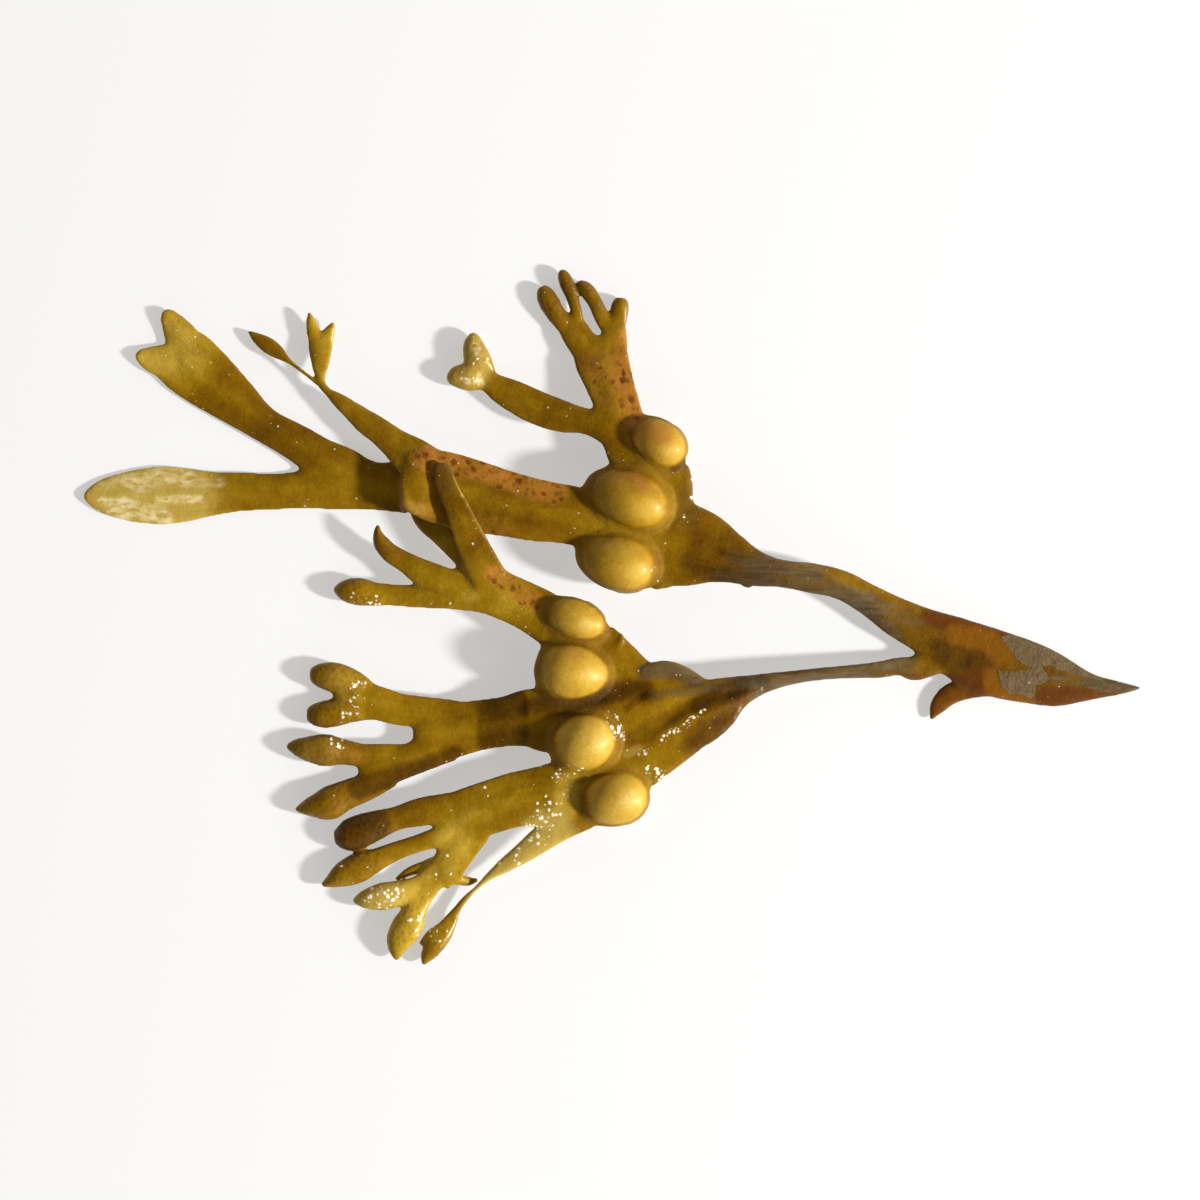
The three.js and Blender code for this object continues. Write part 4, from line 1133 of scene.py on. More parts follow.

# %% [markdown]
# ### Tone
# Tone runs from 0, a dark brown, through olive to 1, the yellow of thin young skin. The tips and the
# lower branches are lighter than the rest, and a few tips are nearly black. Some daubs of tone are
# painted shade: the shadows that the bladders cast on the middle branch, a band along its lower prong,
# the folds of the fan, the creases beside bladders and under one, and the finger over the long blade,
# turned from the light. Two are painted light, where a shadow falls on a finger and beside the lowest
# bladder.

# %% Daubs of tone
TONE = 0.5
tone = [
    Daub(0.32, 3, 7, [(-69, 42.5), (-74, 44)]),
    Daub(0.12, 2, 3, [(-43, 21), (-49, 20.6)], ("left_blade",)),
    Daub(-0.1, 1.5, 3, [(-8, 16.6), (-19, 18)], ("long_blade", "upper_stem")),
    Daub(-0.14, 2, 3.5, [(15, 9.5), (24, 7)], ("upper_stem",)),
    Daub(-0.1, 1, 2.5, [(43, 1.8), (49, -1), (54, -3)]),
    Daub(-0.12, 0.8, 2, [(58, -6.5), (62, -6)]),
    Daub(-0.12, 0.8, 2, [(25, -10), (31, -9.2), (42, -8.4)], ("lower_stem",)),
    Daub(-0.26, 0.8, 1.6, [(14, -13.8), (20.5, -10.8)], ("lower_stem",)),
    # Painted light: lifts the shadow that the lowest bladder casts on the web beside it.
    Daub(0.36, 1, 2, [(-7.2, -26), (-7.4, -30.6)], ("lower_stem",)),
    Daub(-0.08, 1, 2, [(12.6, 22), (12, 15)], ("upper_stem",)),
    Daub(-0.09, 2, 5, [(-56, 31), (-62, 36)]),
    Daub(-0.08, 3, 4, [(-47, 26), (-53, 29)]),
    Daub(0.16, 3, 18, [(-70, 19.6), (-82, 19.5)]),
    Daub(0.14, 3, 6, [(-17, -30), (-27, -39), (-33, -50)]),
    Daub(0.26, 2, 3, [(-25, -36), (-29, -43), (-33, -50)], ("bottom_branch",)),
    Daub(0.08, 1.5, 3, [(-38, -39), (-44, -42)], ("bottom_branch",)),
    Daub(-0.08, 1.5, 2.5, [(-40, 4), (-44, 4.5)], ("top_branch",)),
    Daub(0.14, 1, 3, [(-34, -44), (-40, -45)], ("bottom_branch",)),
    Daub(0.1, 2, 5, [(-25, -16), (-38, -13)]),
    # Painted shadow: the shadow that the bladders cast on the middle branch.
    Daub(-0.26, 3.5, 1.2, [(-17.5, -13.8), (-17.5, -18.6)]),
    # Painted shade: a shadow band along the lower prong of the middle branch.
    Daub(-0.3, 1, 1.4, [(-40.5, -27.2), (-37.5, -26), (-31, -24.3), (-25, -22.2)], ("middle_branch",)),
    Daub(0.18, 2, 4, [(-15, 2.4), (-22, 4), (-42, 4.4)]),
    Daub(-0.29, 2.4, 1.6, [(-38.6, -33.2), (-44, -34.6)], ("bottom_branch",)),
    Daub(-0.1, 1.5, 2.5, [(-9, 50), (-11, 53)]),
    Daub(-0.08, 1, 2.5, [(-7, 53), (-8, 55)]),
    Daub(-0.1, 1, 2.5, [(-3, 51), (-5.5, 53.3)]),
    Daub(0.12, 2, 4, [(-1, 35), (1.5, 38)]),
    Daub(-0.12, 1.5, 4, [(-34, 10), (-37.4, 14.5)]),
    # Painted shade: the finger that lies over the long blade, turned from the light.
    Daub(-0.1, 1, 3, [(-22.5, 13), (-25.5, 20), (-27, 24)], ("top_branch",)),
    # Painted light: lifts the shadow that the finger over the long blade casts on the finger under it.
    Daub(0.12, 1.5, 2.5, [(-25.5, 12), (-31, 17)], ("top_branch",)),
    Daub(0.05, 0.8, 1.4, [(-25, 19.6), (-14, 17.4), (-3, 14.6)], ("long_blade", "upper_stem")),
    Daub(-0.08, 2, 4, [(-2, 29.5), (-8, 31)]),
    Daub(-0.08, 1, 2, [(-37, 30), (-40, 32)]),
    Daub(-0.1, 3, 8, [(16, 9), (26, 6.5)]),
    # Painted shade: a dark line in a fold of the fan.
    Daub(-0.12, 0.5, 1.5, [(1.5, -11.4), (5.3, -9.9), (15.4, -10.2), (23, -9.2)], ("lower_stem",)),
    # Painted shade: the dark crease between the bladders of the fan.
    Daub(-0.34, 0.5, 2.2, [(-13, -14.4), (-7.5, -13.9), (-2.4, -12.7), (0.5, -11.7), (5.4, -11.6)]),
    # Painted shadow under the overhang of the first bladder.
    Daub(-0.3, 0.4, 0.9, [(10, 24), (12.8, 25.3)], ("upper_stem",)),
    # Painted shade at the end of the second bladder that is turned from the light.
    Daub(-0.06, 1.2, 2, [(-3.6, 20.4), (-3.6, 17.4)]),
    # Painted shade at the end of the first bladder that is turned from the light.
    Daub(-0.16, 0.8, 1.6, [(4, 30.6), (4.6, 29.4)], ("upper_stem",)),
    Daub(-0.16, 1, 3, [(17, 5), (24, 4.2), (30, 3.4)], ("upper_stem",)),
    # Painted shade in a V-shaped fold of the fan.
    Daub(-0.18, 0.2, 0.8, [(2.4, -14.4), (5.6, -12.2)], ("lower_stem",)),
    # Painted shade: the side of a fold ridge that is turned from the light.
    Daub(-0.14, 0.6, 1.4, [(19, -11.6), (12.5, -14.4), (7.5, -16.8), (3.8, -19)], ("lower_stem",)),
    Daub(-0.3, 1, 3, [(23, -11.8), (19, -16), (14, -19.6)], ("lower_stem",)),
    Daub(0.3, 2, 2, [(-46.6, 47), (-46.6, 41)], ("narrow_blade",)),
    Daub(-0.06, 2, 5, [(-48, 38.5), (-56, 44)]),
    Daub(-0.16, 4, 10, [(58, -6.5), (80, -11)]),
    Daub(-0.14, 0.8, 2.2, [(34, 3.2), (40, 0.4), (45, -4)], ("upper_stem", "stipe")),
    Daub(-0.1, 1, 3, [(26, -10), (34, -9), (44, -8)], ("lower_stem",)),
    Daub(-0.14, 1.2, 2.4, [(53, -5.4), (60.5, -7.8)]),
]
print("tone:", len(tone), "daubs")

# %% [markdown]
# ### Rust, red and orange
# Old skin turns rusty along the upper edge of the long blade and on one side of the hand, with darker
# spots. The stipe and its spur are red-brown where the bark has worn thin.

# %% Daubs of rust and red
rust = [
    Daub(0.95, 1.1, 2.4, [(-29.6, 25.4), (-24, 24.8), (-16, 22.6), (-9.5, 20.4)], ("long_blade",)),
    Daub(0.4, 0.3, 1.6, [(-32.6, 18), (-28, 17)], ("long_blade",)),
    Daub(0.4, 1, 2.8, [(-21.5, 14.6), (-17.5, 14.4)], ("long_blade",)),
    Daub(0.75, 0.6, 2, [(-19, 7), (-12.5, 2.6)], ("top_branch", "lower_stem")),
    Daub(0.8, 0.6, 2.6, [(3.6, 32), (2.4, 38), (2.6, 45)]),
    Daub(0.2, 1, 3.5, [(-4, 38), (-6, 46)]),
    Daub(0.3, 0.4, 1.8, [(-40, -22.4), (-44, -21.4)]),
    Daub(0.2, 0.4, 1.8, [(-41.5, -27.4), (-44, -28.5)], ("middle_branch",)),
    Daub(0.4, 1.5, 3, [(1.5, 34), (-1.5, 40)]),
]
blush = [
    Daub(0.75, 0.3, 2.2, [(3.4, 22.4), (5, 21.2)], ("upper_stem",)),
    Daub(0.6, 0.8, 2.4, [(6, 30), (8, 29.4)], ("upper_stem",)),
    Daub(0.35, 0.3, 2, [(-6.5, -5.6), (-5, -5.8)], ("lower_stem",)),
]
red = [
    Daub(0.95, 2.2, 2.4, [(51, -16), (54, -12.8), (60, -11)]),
    Daub(0.95, 1.2, 1.8, [(69.5, -13), (76, -12.9), (84, -11.8)]),
    Daub(0.8, 0.6, 2.4, [(51, 0.4), (56, -1.4), (62.5, -3.4)]),
    Daub(0.6, 0.4, 1.4, [(46, -9.6), (50, -9.8)]),
    Daub(0.4, 0.3, 1.6, [(17.5, -17), (22, -12.6)], ("lower_stem",)),
    Daub(0.2, 1.5, 3, [(-1, 36), (0.5, 39)]),
]
orange = [
    Daub(0.85, 0.8, 2.2, [(55, -2.6), (60, -3.6), (62.3, -6)]),
    Daub(0.85, 0.6, 1.6, [(60.4, -9.4), (61, -12), (66.5, -13.8)]),
    Daub(0.5, 1.2, 1.8, [(51.4, -15.6), (55, -12.4)]),
]
print("rust:", len(rust), "blush:", len(blush), "red:", len(red), "orange:", len(orange))

# %% [markdown]
# ### Grey skin and pale skin
# The stems are rubbed to a greyish tan, though two grey daubs are a painted sheen: on the lit edge of a
# fold in the fan and beside the second bladder. Thin wet skin at the left end, on the heart tip and on
# the thin blade is so pale that the light nearly shows through it. A few pale daubs are painted light:
# a painted highlight on the lit edge of the finger over the long blade, a painted reflection beside the
# second bladder, and painted light where the lowest bladder's shadow falls.

# %% Daubs of grey and pale
grey = [
    Daub(0.55, 0.4, 3.4, [(23, 6.4), (28, 5.8), (34, 4.8), (40, 2.2)]),
    Daub(0.45, 0.3, 1.4, [(19, 9.6), (26, 8.6), (33, 7.2)]),
    Daub(0.3, 0.6, 3, [(17.5, 6.6), (23, 6)]),
    Daub(0.6, 0.3, 1.6, [(38, 3.4), (42, 0.6), (45.4, -3)]),
    Daub(0.4, 0.4, 1.6, [(41, 3), (44.5, 1.4), (49, -0.8)]),
    # Painted reflection: the whitish wet sheen on the web beside the second bladder.
    Daub(0.22, 0.8, 2, [(12.6, 23), (12.2, 16)], ("upper_stem",)),
    Daub(0.4, 0.3, 1.6, [(28, 4.4), (36, 2.6), (41, -0.4)]),
    Daub(0.6, 0.6, 4, [(24, -9.8), (30, -9.2), (40, -8.3), (46, -7.8)]),
    Daub(0.7, 0.6, 1.6, [(5.5, -8.4), (9, -8), (13.2, -9.5)]),
    # Painted highlight: the grey shine along the lit edge of a fold in the fan.
    Daub(0.5, 0.3, 1, [(24, -10), (15.4, -11), (6.4, -12.4)]),
    Daub(0.3, 0.8, 2, [(-26.4, 21.6), (-27, 24)], ("top_branch",)),
    Daub(0.9, 0.8, 1.4, [(77, -9.8), (84, -10.8)]),
    Daub(0.5, 0.4, 1.2, [(71, -9.6), (78, -10.6)]),
]
pale = [
    Daub(1.0, 3, 9, [(-71, 19.6), (-83, 19.6)]),
    Daub(0.6, 1.8, 2.6, [(-21.8, 43), (-22, 39.5), (-25, 38.6)]),
    Daub(0.95, 1.5, 4.5, [(-10, -34.4), (-20, -41.5)], ("thin_blade", "lower_stem")),
    Daub(0.35, 2, 6, [(-70, 43.5), (-73, 44.5)]),
    Daub(0.8, 1, 2.4, [(-35, -44.2), (-39, -44.9)]),
    Daub(0.3, 1, 2.4, [(-44, -10), (-42, -11)]),
    Daub(0.25, 1, 2.4, [(-45, -21), (-48, -21)]),
    Daub(0.5, 0.3, 1, [(2.6, -21.6), (4.2, -20.8)], ("lower_stem",)),
    # Painted highlight: the lit right edge of the finger that lies over the long blade.
    Daub(0.5, 0.1, 0.5, [(-25, 22.6), (-23.8, 19.6)], ("top_branch",)),
    Daub(0.3, 0.1, 0.5, [(-23.8, 19.6), (-20, 12.6)], ("top_branch",)),
    Daub(0.4, 0.3, 1.4, [(-32.8, 18), (-30.4, 17.2)], ("long_blade",)),
    # Painted reflection: the whitish wet sheen on the web beside the second bladder.
    Daub(0.1, 0.6, 2.4, [(12.8, 22), (12, 15)], ("upper_stem",)),
    # Painted light: lifts the shadow that the lowest bladder casts on the web beside it.
    Daub(0.3, 0.6, 2, [(-7.4, -27), (-8, -31)], ("lower_stem",)),
]
print("grey:", len(grey), "pale:", len(pale))

# %% [markdown]
# ### Painted glints and sheen
# The sprig is fresh from the water, and small drops on it catch the light. These glints are painted:
# white dots laid into the colour, with a few salt specks among them, most of all on the warty tips, in
# the fan and at the left end. The sheen of the wrinkled skin there and on the heart tip is a painted
# highlight too.

# %% Daubs of glints and sheen
# Where painted glints go: their white is laid into the colour as painted highlights.
glint = [
    Daub(0.1, 3, 5, [(-66, 19), (-80, 19.5)]),
    Daub(0.25, 3, 5, [(-52, 29), (-68, 41)]),
    Daub(1.7, 0.6, 0.8, [(-0.2, -15.6), (1.2, -18.8)]),
    Daub(1.4, 0.3, 0.7, [(14.7, -15), (9.6, -18.2), (6.7, -20.2), (4.6, -21.6)]),
    Daub(1.7, 0.6, 0.8, [(6.2, -24.4), (7.8, -25)]),
    Daub(0.8, 1, 3, [(-6.4, -25), (-8.6, -28), (-12.5, -34.5), (-16, -38.5)]),
    Daub(0.4, 1, 3, [(-11, -24), (-19, -26.5)]),
    Daub(0.6, 0.8, 1.6, [(13, 20), (12.6, 15)]),
    Daub(1.0, 0.3, 0.4, [(6.1, 8.6), (6.4, 7.8)]),
    Daub(0.25, 1.2, 2, [(-8, 19), (-30, 24)], ("long_blade",)),
    Daub(0.3, 0.8, 1.6, [(-25, 19), (-20.4, 9), (-16, 4.6)], ("top_branch",)),
    Daub(0.35, 1, 2, [(-26, 1.8), (-14, -0.5)], ("top_branch",)),
    Daub(0.35, 0.6, 1.6, [(-18, -13.4), (-24, -12.8)]),
    Daub(0.5, 1, 2, [(-26, -39), (-29, -43), (-27.5, -50)]),
    Daub(0.8, 0.8, 1.2, [(-38, 2.6), (-41, 2.6)], ("top_branch",)),
    Daub(0.8, 0.8, 1.4, [(-43.5, -20.4), (-40.5, -11)], ("middle_branch",)),
    Daub(0.9, 0.8, 1.4, [(-34.4, -44), (-38, -44.4)], ("bottom_branch",)),
    Daub(0.9, 0.8, 1.4, [(-31.4, -48.6), (-29.4, -50.4)]),
    Daub(0.2, 1, 1.6, [(-22, 42), (-21.6, 38.4)], ("heart_twig",)),
]
# Painted sheen: whitish highlights of wet wrinkled skin, laid into the colour.
sheen = [
    Daub(1.1, 0.05, 1.1, [(-81.6, 18.8), (-77.6, 18.6)]),
    Daub(1.1, 0.05, 1.2, [(-72.4, 19), (-66, 19)]),
    Daub(0.8, 0.8, 2.2, [(-76, 21.5), (-72.5, 23), (-69, 22.8)]),
    Daub(1.3, 1.0, 2.2, [(-78.5, 17.2), (-75.5, 16.2), (-72.5, 15.6)]),
    Daub(0.5, 0.5, 1.5, [(-82, 21.6), (-78, 22.4)]),
    Daub(0.5, 0.5, 1.5, [(-67.8, 22), (-63, 21.6)]),
    Daub(0.7, 0.3, 0.9, [(-21.8, 43.4), (-21.4, 42.4)]),
    Daub(0.8, 0.2, 0.7, [(-24, 38), (-23, 37.8)]),
    Daub(0.8, 0.2, 0.7, [(-21.4, 37.8), (-20.8, 37.6)]),
]
print("glint:", len(glint), "sheen:", len(sheen))

# %% [markdown]
# ### Crust and bladder yellow
# Two patches of crust sit near the foot, with edges as sharp as those of spilt plaster, so they are
# outlines rather than daubs. The bladders are yellow where their wall is stretched, and palest at one
# spot on top, which is a painted highlight. Olive skin still covers their other end, which is turned
# from the light, so the slow fade into yellow there is partly painted shade.

# %% Outlines of crust, and where bladders are yellow
CRUST = [
    [
        (62.2, -3), (62.9, -4.3), (63.8, -5.4), (65, -6.9), (66.9, -8), (68.5, -7.9), (69.8, -7.5),
        (71.2, -8.2), (73.8, -8.9), (76.8, -9.6), (79.5, -10.4), (76, -7.5), (66, -2),
    ],
    [
        (61.7, -8.3), (64.5, -8.6), (67.3, -8.2), (68.7, -8), (69.4, -8.7), (69.9, -9.7), (69.1, -10.3),
        (67.7, -10.9), (67.6, -13), (66.3, -12.8), (65.4, -12.2), (63.8, -12.3), (63.1, -11.6),
        (62.2, -10.9), (61.8, -9.7),
    ],
]
CRUST_EDGE = 0.5
SHEATH_LENGTH = 1.1
# The yellow fades out towards a bladder's far end, under olive skin and turned from the light: partly
# painted shade.
SHEATH_AND_SHADE_EDGE = (-1.2, -0.55)
RIM_EDGE = (1.06, 0.8)
GOLD_SHARE = 0.72
# Where, how wide and how strong the painted highlight on each bladder is.
PAINTED_HIGHLIGHT_PLACE = (0.42, -0.12)
PAINTED_HIGHLIGHT_REACH = 0.36
PAINTED_HIGHLIGHT_SHARE = 0.2


def inside(points, outline):
    """Above a half inside an outline and below a half outside it, changing over a narrow edge."""
    crossings = np.zeros(len(points), dtype=int)
    closed = [*outline, outline[0]]
    for (x0, y0), (x1, y1) in zip(closed, closed[1:]):
        spans = (y0 > points[:, 1]) != (y1 > points[:, 1])
        reach = (x1 - x0) * (points[:, 1] - y0) / (y1 - y0 if y1 != y0 else TINY) + x0
        crossings += spans & (points[:, 0] < reach)
    depth = distance_to(points, closed) * np.where(crossings % 2, 1, -1)
    return np.clip(0.5 + depth / CRUST_EDGE / 2, 0, 1)


def bladder_yellow_and_highlight(points, bladder):
    """A bladder's yellow: none at its rim, fading in from its far end as partly painted shade, plus a
    painted highlight.
    """
    turn = math.radians(bladder.turn)
    ahead = np.array((math.cos(turn), math.sin(turn)))
    away = points - (bladder.x, bladder.y)
    along = away @ ahead / bladder.length * 2
    across = away @ (-ahead[1], ahead[0]) / bladder.width * 2 / (1 + bladder.blunt * along)
    out = np.hypot(np.where(along < 0, along / SHEATH_LENGTH, along), across)
    aside = np.hypot(along - PAINTED_HIGHLIGHT_PLACE[0], across - PAINTED_HIGHLIGHT_PLACE[1]) / PAINTED_HIGHLIGHT_REACH
    gold = eased(along, *SHEATH_AND_SHADE_EDGE) * eased(out, *RIM_EDGE)
    return bladder.ripe * gold * GOLD_SHARE + np.exp(-(aside**2)) * PAINTED_HIGHLIGHT_SHARE


print("crust patches:", len(CRUST))

# %% Lay every tint on the vertices
TINTS = {
    "tone": tone,
    "rust": rust,
    "blush": blush,
    "red": red,
    "orange": orange,
    "grey": grey,
    "pale": pale,
    "glint": glint,
    "sheen": sheen,
}


def tint_vertices(node, mesh):
    spots = np.empty(len(mesh.vertices) * 3)
    mesh.vertices.foreach_get("co", spots)
    seen = spots.reshape(-1, 3)[:, :2] / MM
    layers = {name: lay_on(seen, node, daubs) for name, daubs in TINTS.items()}
    layers["tone"] = TONE + layers["tone"]
    layers["yellow"] = np.max([bladder_yellow_and_highlight(seen, bladder) for bladder in BLADDERS], axis=0) * (node in STALKS)
    layers["crust"] = np.max([inside(seen, outline) for outline in CRUST], axis=0)
    add_attributes(mesh, layers)


for node, piece in pieces.items():
    tint_vertices(node, piece.data)
print("tints:", ", ".join(TINTS))

# %% [markdown]
# ## Shader groups that every skin shares
# The four skins of the sprig share their effects, so each effect is one node group with named inputs,
# used in every material with its own values. Groups put out only colours, masks and heights: the shader
# itself stays in the material. All patterns are in Object coordinates, turned to millimetres first.

# %% Starting and using a shader group


def new_group(name, inputs, outputs):
    """A shader group with these inputs and outputs. Returns it, its input wires and its end node."""
    tree = bpy.data.node_groups.new(name, "ShaderNodeTree")
    for label in inputs:
        tree.interface.new_socket(label, in_out="INPUT", socket_type="NodeSocketFloat")
    for label, kind in outputs.items():
        tree.interface.new_socket(label, in_out="OUTPUT", socket_type="NodeSocket" + kind)
    entry = tree.nodes.new("NodeGroupInput")
    leave = tree.nodes.new("NodeGroupOutput")
    return tree, {socket.name: Wire(socket) for socket in entry.outputs if socket.name}, leave


def use_group(tree, group, **values):
    """Places a group in a tree. Returns a wire for each of its outputs."""
    node = tree.nodes.new("ShaderNodeGroup")
    node.node_tree = group
    for label, value in values.items():
        plug(value, node.inputs[label.title()])
    return {socket.name: Wire(socket) for socket in node.outputs}


def millimetres(tree):
    """Object coordinates, in millimetres."""
    return scaled(made(tree, "ShaderNodeTexCoord", output="Object"), 1 / MM)


def mixed(first, second, factor):
    """From the first colour to the second, by a factor from 0 to 1."""
    node = factor.tree.nodes.new("ShaderNodeMix")
    node.data_type = "RGBA"
    plug(factor, node.inputs["Factor"])
    for value, socket in ((first, node.inputs[6]), (second, node.inputs[7])):
        plug(value if isinstance(value, Wire) else (*value, 1.0), socket)
    return Wire(node.outputs[2])


def ramped(value, stops):
    """A colour from a ramp of (place, colour) stops."""
    node = place(value.tree, "ShaderNodeValToRGB", {"Fac": value})
    ramp = node.color_ramp
    while len(ramp.elements) < len(stops):
        ramp.elements.new(0.5)
    for element, (spot, colour) in zip(ramp.elements, stops):
        element.position = spot
        element.color = (*colour, 1.0)
    return Wire(node.outputs["Color"])


print("group helpers ready")

# %% [markdown]
# ### Pigment
# Brown seaweed gets its olive from a brown pigment over green. The group looks a tone up in a ramp
# after noise of three sizes has mottled it: clouds across a blade, patches, and a fine grain of cells.

# %% The pigment group
OLIVES = [
    (0.0, (0.034, 0.013, 0.0006)),
    (0.25, (0.1, 0.043, 0.0008)),
    (0.5, (0.2, 0.1, 0.001)),
    (0.72, (0.3, 0.172, 0.004)),
    (1.0, (0.5, 0.33, 0.035)),
]


def pigment_group():
    tree, given, leave = new_group("frond_pigment", ["Tone", "Mottle"], {"Color": "Color"})
    spot = millimetres(tree)
    clouds = noise(spot, 9.0, 2.0) * 0.22 + noise(spot, 2.4, 3.0) * 0.18 + noise(spot, 0.5, 2.0) * 0.1
    plug(ramped(given["Tone"] + clouds * given["Mottle"], OLIVES), leave.inputs["Color"])
    return tree


pigment = pigment_group()
print("pigment group:", len(pigment.nodes), "nodes")

# %% [markdown]
# ### Streaks
# The fibres of a frond run along it, so wear and wet show as fine streaks that follow each strap. The
# straps carry how far along and how far across them each point is, and noise stretched in those two
# makes the streaks.

# %% The streak group


def streak_group():
    inputs = ["Along", "Side", "Length", "Width"]
    tree, given, leave = new_group("strap_streaks", inputs, {"Streak": "Float"})
    spot = joined(tree, given["Along"] / given["Length"], given["Side"] / given["Width"], 0.0)
    plug(noise(spot, 1.0, 3.0), leave.inputs["Streak"])
    return tree


streaks = streak_group()
print("streak group:", len(streaks.nodes), "nodes")

# %% [markdown]
# ### Frayed daubs and spots
# A daub's edge is too smooth to be real. This group frays it: noise is added before the mask is
# sharpened. The spot group scatters dots, each a point of a Voronoi pattern: dark ones in the rust,
# bright ones where it is wet.

# %% The fray and spot groups


def fray_group():
    tree, given, leave = new_group("frayed_daub", ["Daub", "Fray", "Sharpness"], {"Mask": "Float"})
    spot = millimetres(tree)
    ragged = noise(spot, 2.2, 4.0) + noise(spot, 0.7, 3.0) * 0.6
    edge = given["Daub"] + ragged * given["Fray"] * given["Daub"].ramp(0.0, 0.3)
    plug(((edge - 0.5) * given["Sharpness"] + 0.5).ramp(0.0, 1.0), leave.inputs["Mask"])
    return tree


def spot_group():
    tree, given, leave = new_group("skin_spots", ["Spacing", "Share", "Size", "Core"], {"Mask": "Float"})
    spot = millimetres(tree)
    sway = joined(tree, noise(spot, 1.1), noise(spot, 1.3), 0.0)
    jag = joined(tree, noise(spot, 0.21), noise(spot, 0.25), 0.0)
    bent = vectors("ADD", vectors("ADD", spot, scaled(sway, 0.25)), scaled(jag, 0.26))
    inputs = {"Vector": scaled(bent, 1 / given["Spacing"]), "Scale": 1.0}
    node = place(tree, "ShaderNodeTexVoronoi", inputs)
    chance, size, _ = split(Wire(node.outputs["Color"]))
    reach = given["Size"] / given["Spacing"] * (size * size * 1.1 + 0.3)
    there = reckon("LESS_THAN", chance, given["Share"])
    bright = size * 0.7 + 0.3
    dot = (Wire(node.outputs["Distance"]) / reach).ramp(given["Core"], 1.0, 1.0, 0.0)
    plug(dot * there * bright, leave.inputs["Mask"])
    return tree


fray = fray_group()
spots = spot_group()
print("fray group:", len(fray.nodes), "nodes, spot group:", len(spots.nodes), "nodes")

# %% [markdown]
# ### Wet relief
# Close to, the skin is finely pebbled, and the wet film on it is never even. One group gives the height
# for a Bump node and the roughness that goes with it.

# %% The relief group


def relief_group():
    outputs = {"Height": "Float", "Roughness": "Float"}
    tree, given, leave = new_group("wet_relief", ["Pebble", "Dry"], outputs)
    spot = millimetres(tree)
    pebbles = noise(spot, 0.42, 2.0) * 0.035 + noise(spot, 1.5, 3.0) * 0.09
    plug(pebbles * given["Pebble"], leave.inputs["Height"])
    film = noise(spot, 4.0, 3.0) * 0.08 + noise(spot, 0.8, 2.0) * 0.06
    plug(film + 0.36 + given["Dry"] * 0.35, leave.inputs["Roughness"])
    return tree


relief = relief_group()
print("relief group:", len(relief.nodes), "nodes")

# %% [markdown]
# ## The four skins
# Every skin is olive pigment first. Then come the tints in the order in which they lie on the plant:
# the pale of thin skin, rust and its spots, the grey of rubbed stems, and last the painted sheen and
# the specks and drops, whose white is a painted glint. Bladders and crust are added where a skin has
# them. A clear coat stands for the film of water.

# %% What every skin is made of
RUST = (0.42, 0.168, 0.028)
BLUSH = (0.36, 0.13, 0.025)
RUST_SPOT = (0.11, 0.028, 0.003)
RED_BARK = (0.1, 0.027, 0.003)
ORANGE_BARK = (0.18, 0.068, 0.002)
# Greyish tan of worn stems, also used for a painted sheen in two daubs.
GREY_SKIN_AND_SHEEN = (0.135, 0.094, 0.047)
GREY_LINES = (0.06, 0.037, 0.018)
# Thin pale skin, also used for a painted highlight, a painted reflection and painted light.
PALE_SKIN_AND_PAINTED_LIGHT = (0.5, 0.36, 0.075)
# The colour of the painted sheen.
PAINTED_SHEEN_COLOUR = (0.76, 0.65, 0.36)
# The white of salt specks and of painted glints.
SALT_AND_GLINT_WHITE = (1.0, 0.95, 0.8)
WET_TINT = (1.0, 0.88, 0.55, 1.0)
COAT_ROUGHNESS = 0.2
SKIN_SPECULAR = 0.3
BUMP_STRENGTH = 0.6
SPECK_SMOOTHNESS = 0.2
SPECK_HEIGHT = 0.12
FIBRE_LENGTH = 9.0
FIBRE_WIDTH = 0.7
RUST_SPOTS = {"spacing": 1.0, "size": 0.95, "core": 0.15}
SPECK_AND_GLINT_SPOTS = {"spacing": 0.6, "size": 0.14, "core": 0.5}
GLINT_DROP_SPOTS = {"spacing": 0.6, "core": 0.5}


def vertex_tint(tree, name):
    return made(tree, "ShaderNodeAttribute", output="Fac", attribute_name=name)


def frayed(tree, name, amount, sharpness):
    return use_group(tree, fray, daub=vertex_tint(tree, name), fray=amount, sharpness=sharpness)["Mask"]


def streaked(tree, length, width):
    along, side = vertex_tint(tree, "along"), vertex_tint(tree, "side")
    return use_group(tree, streaks, along=along, side=side, length=length, width=width)["Streak"]


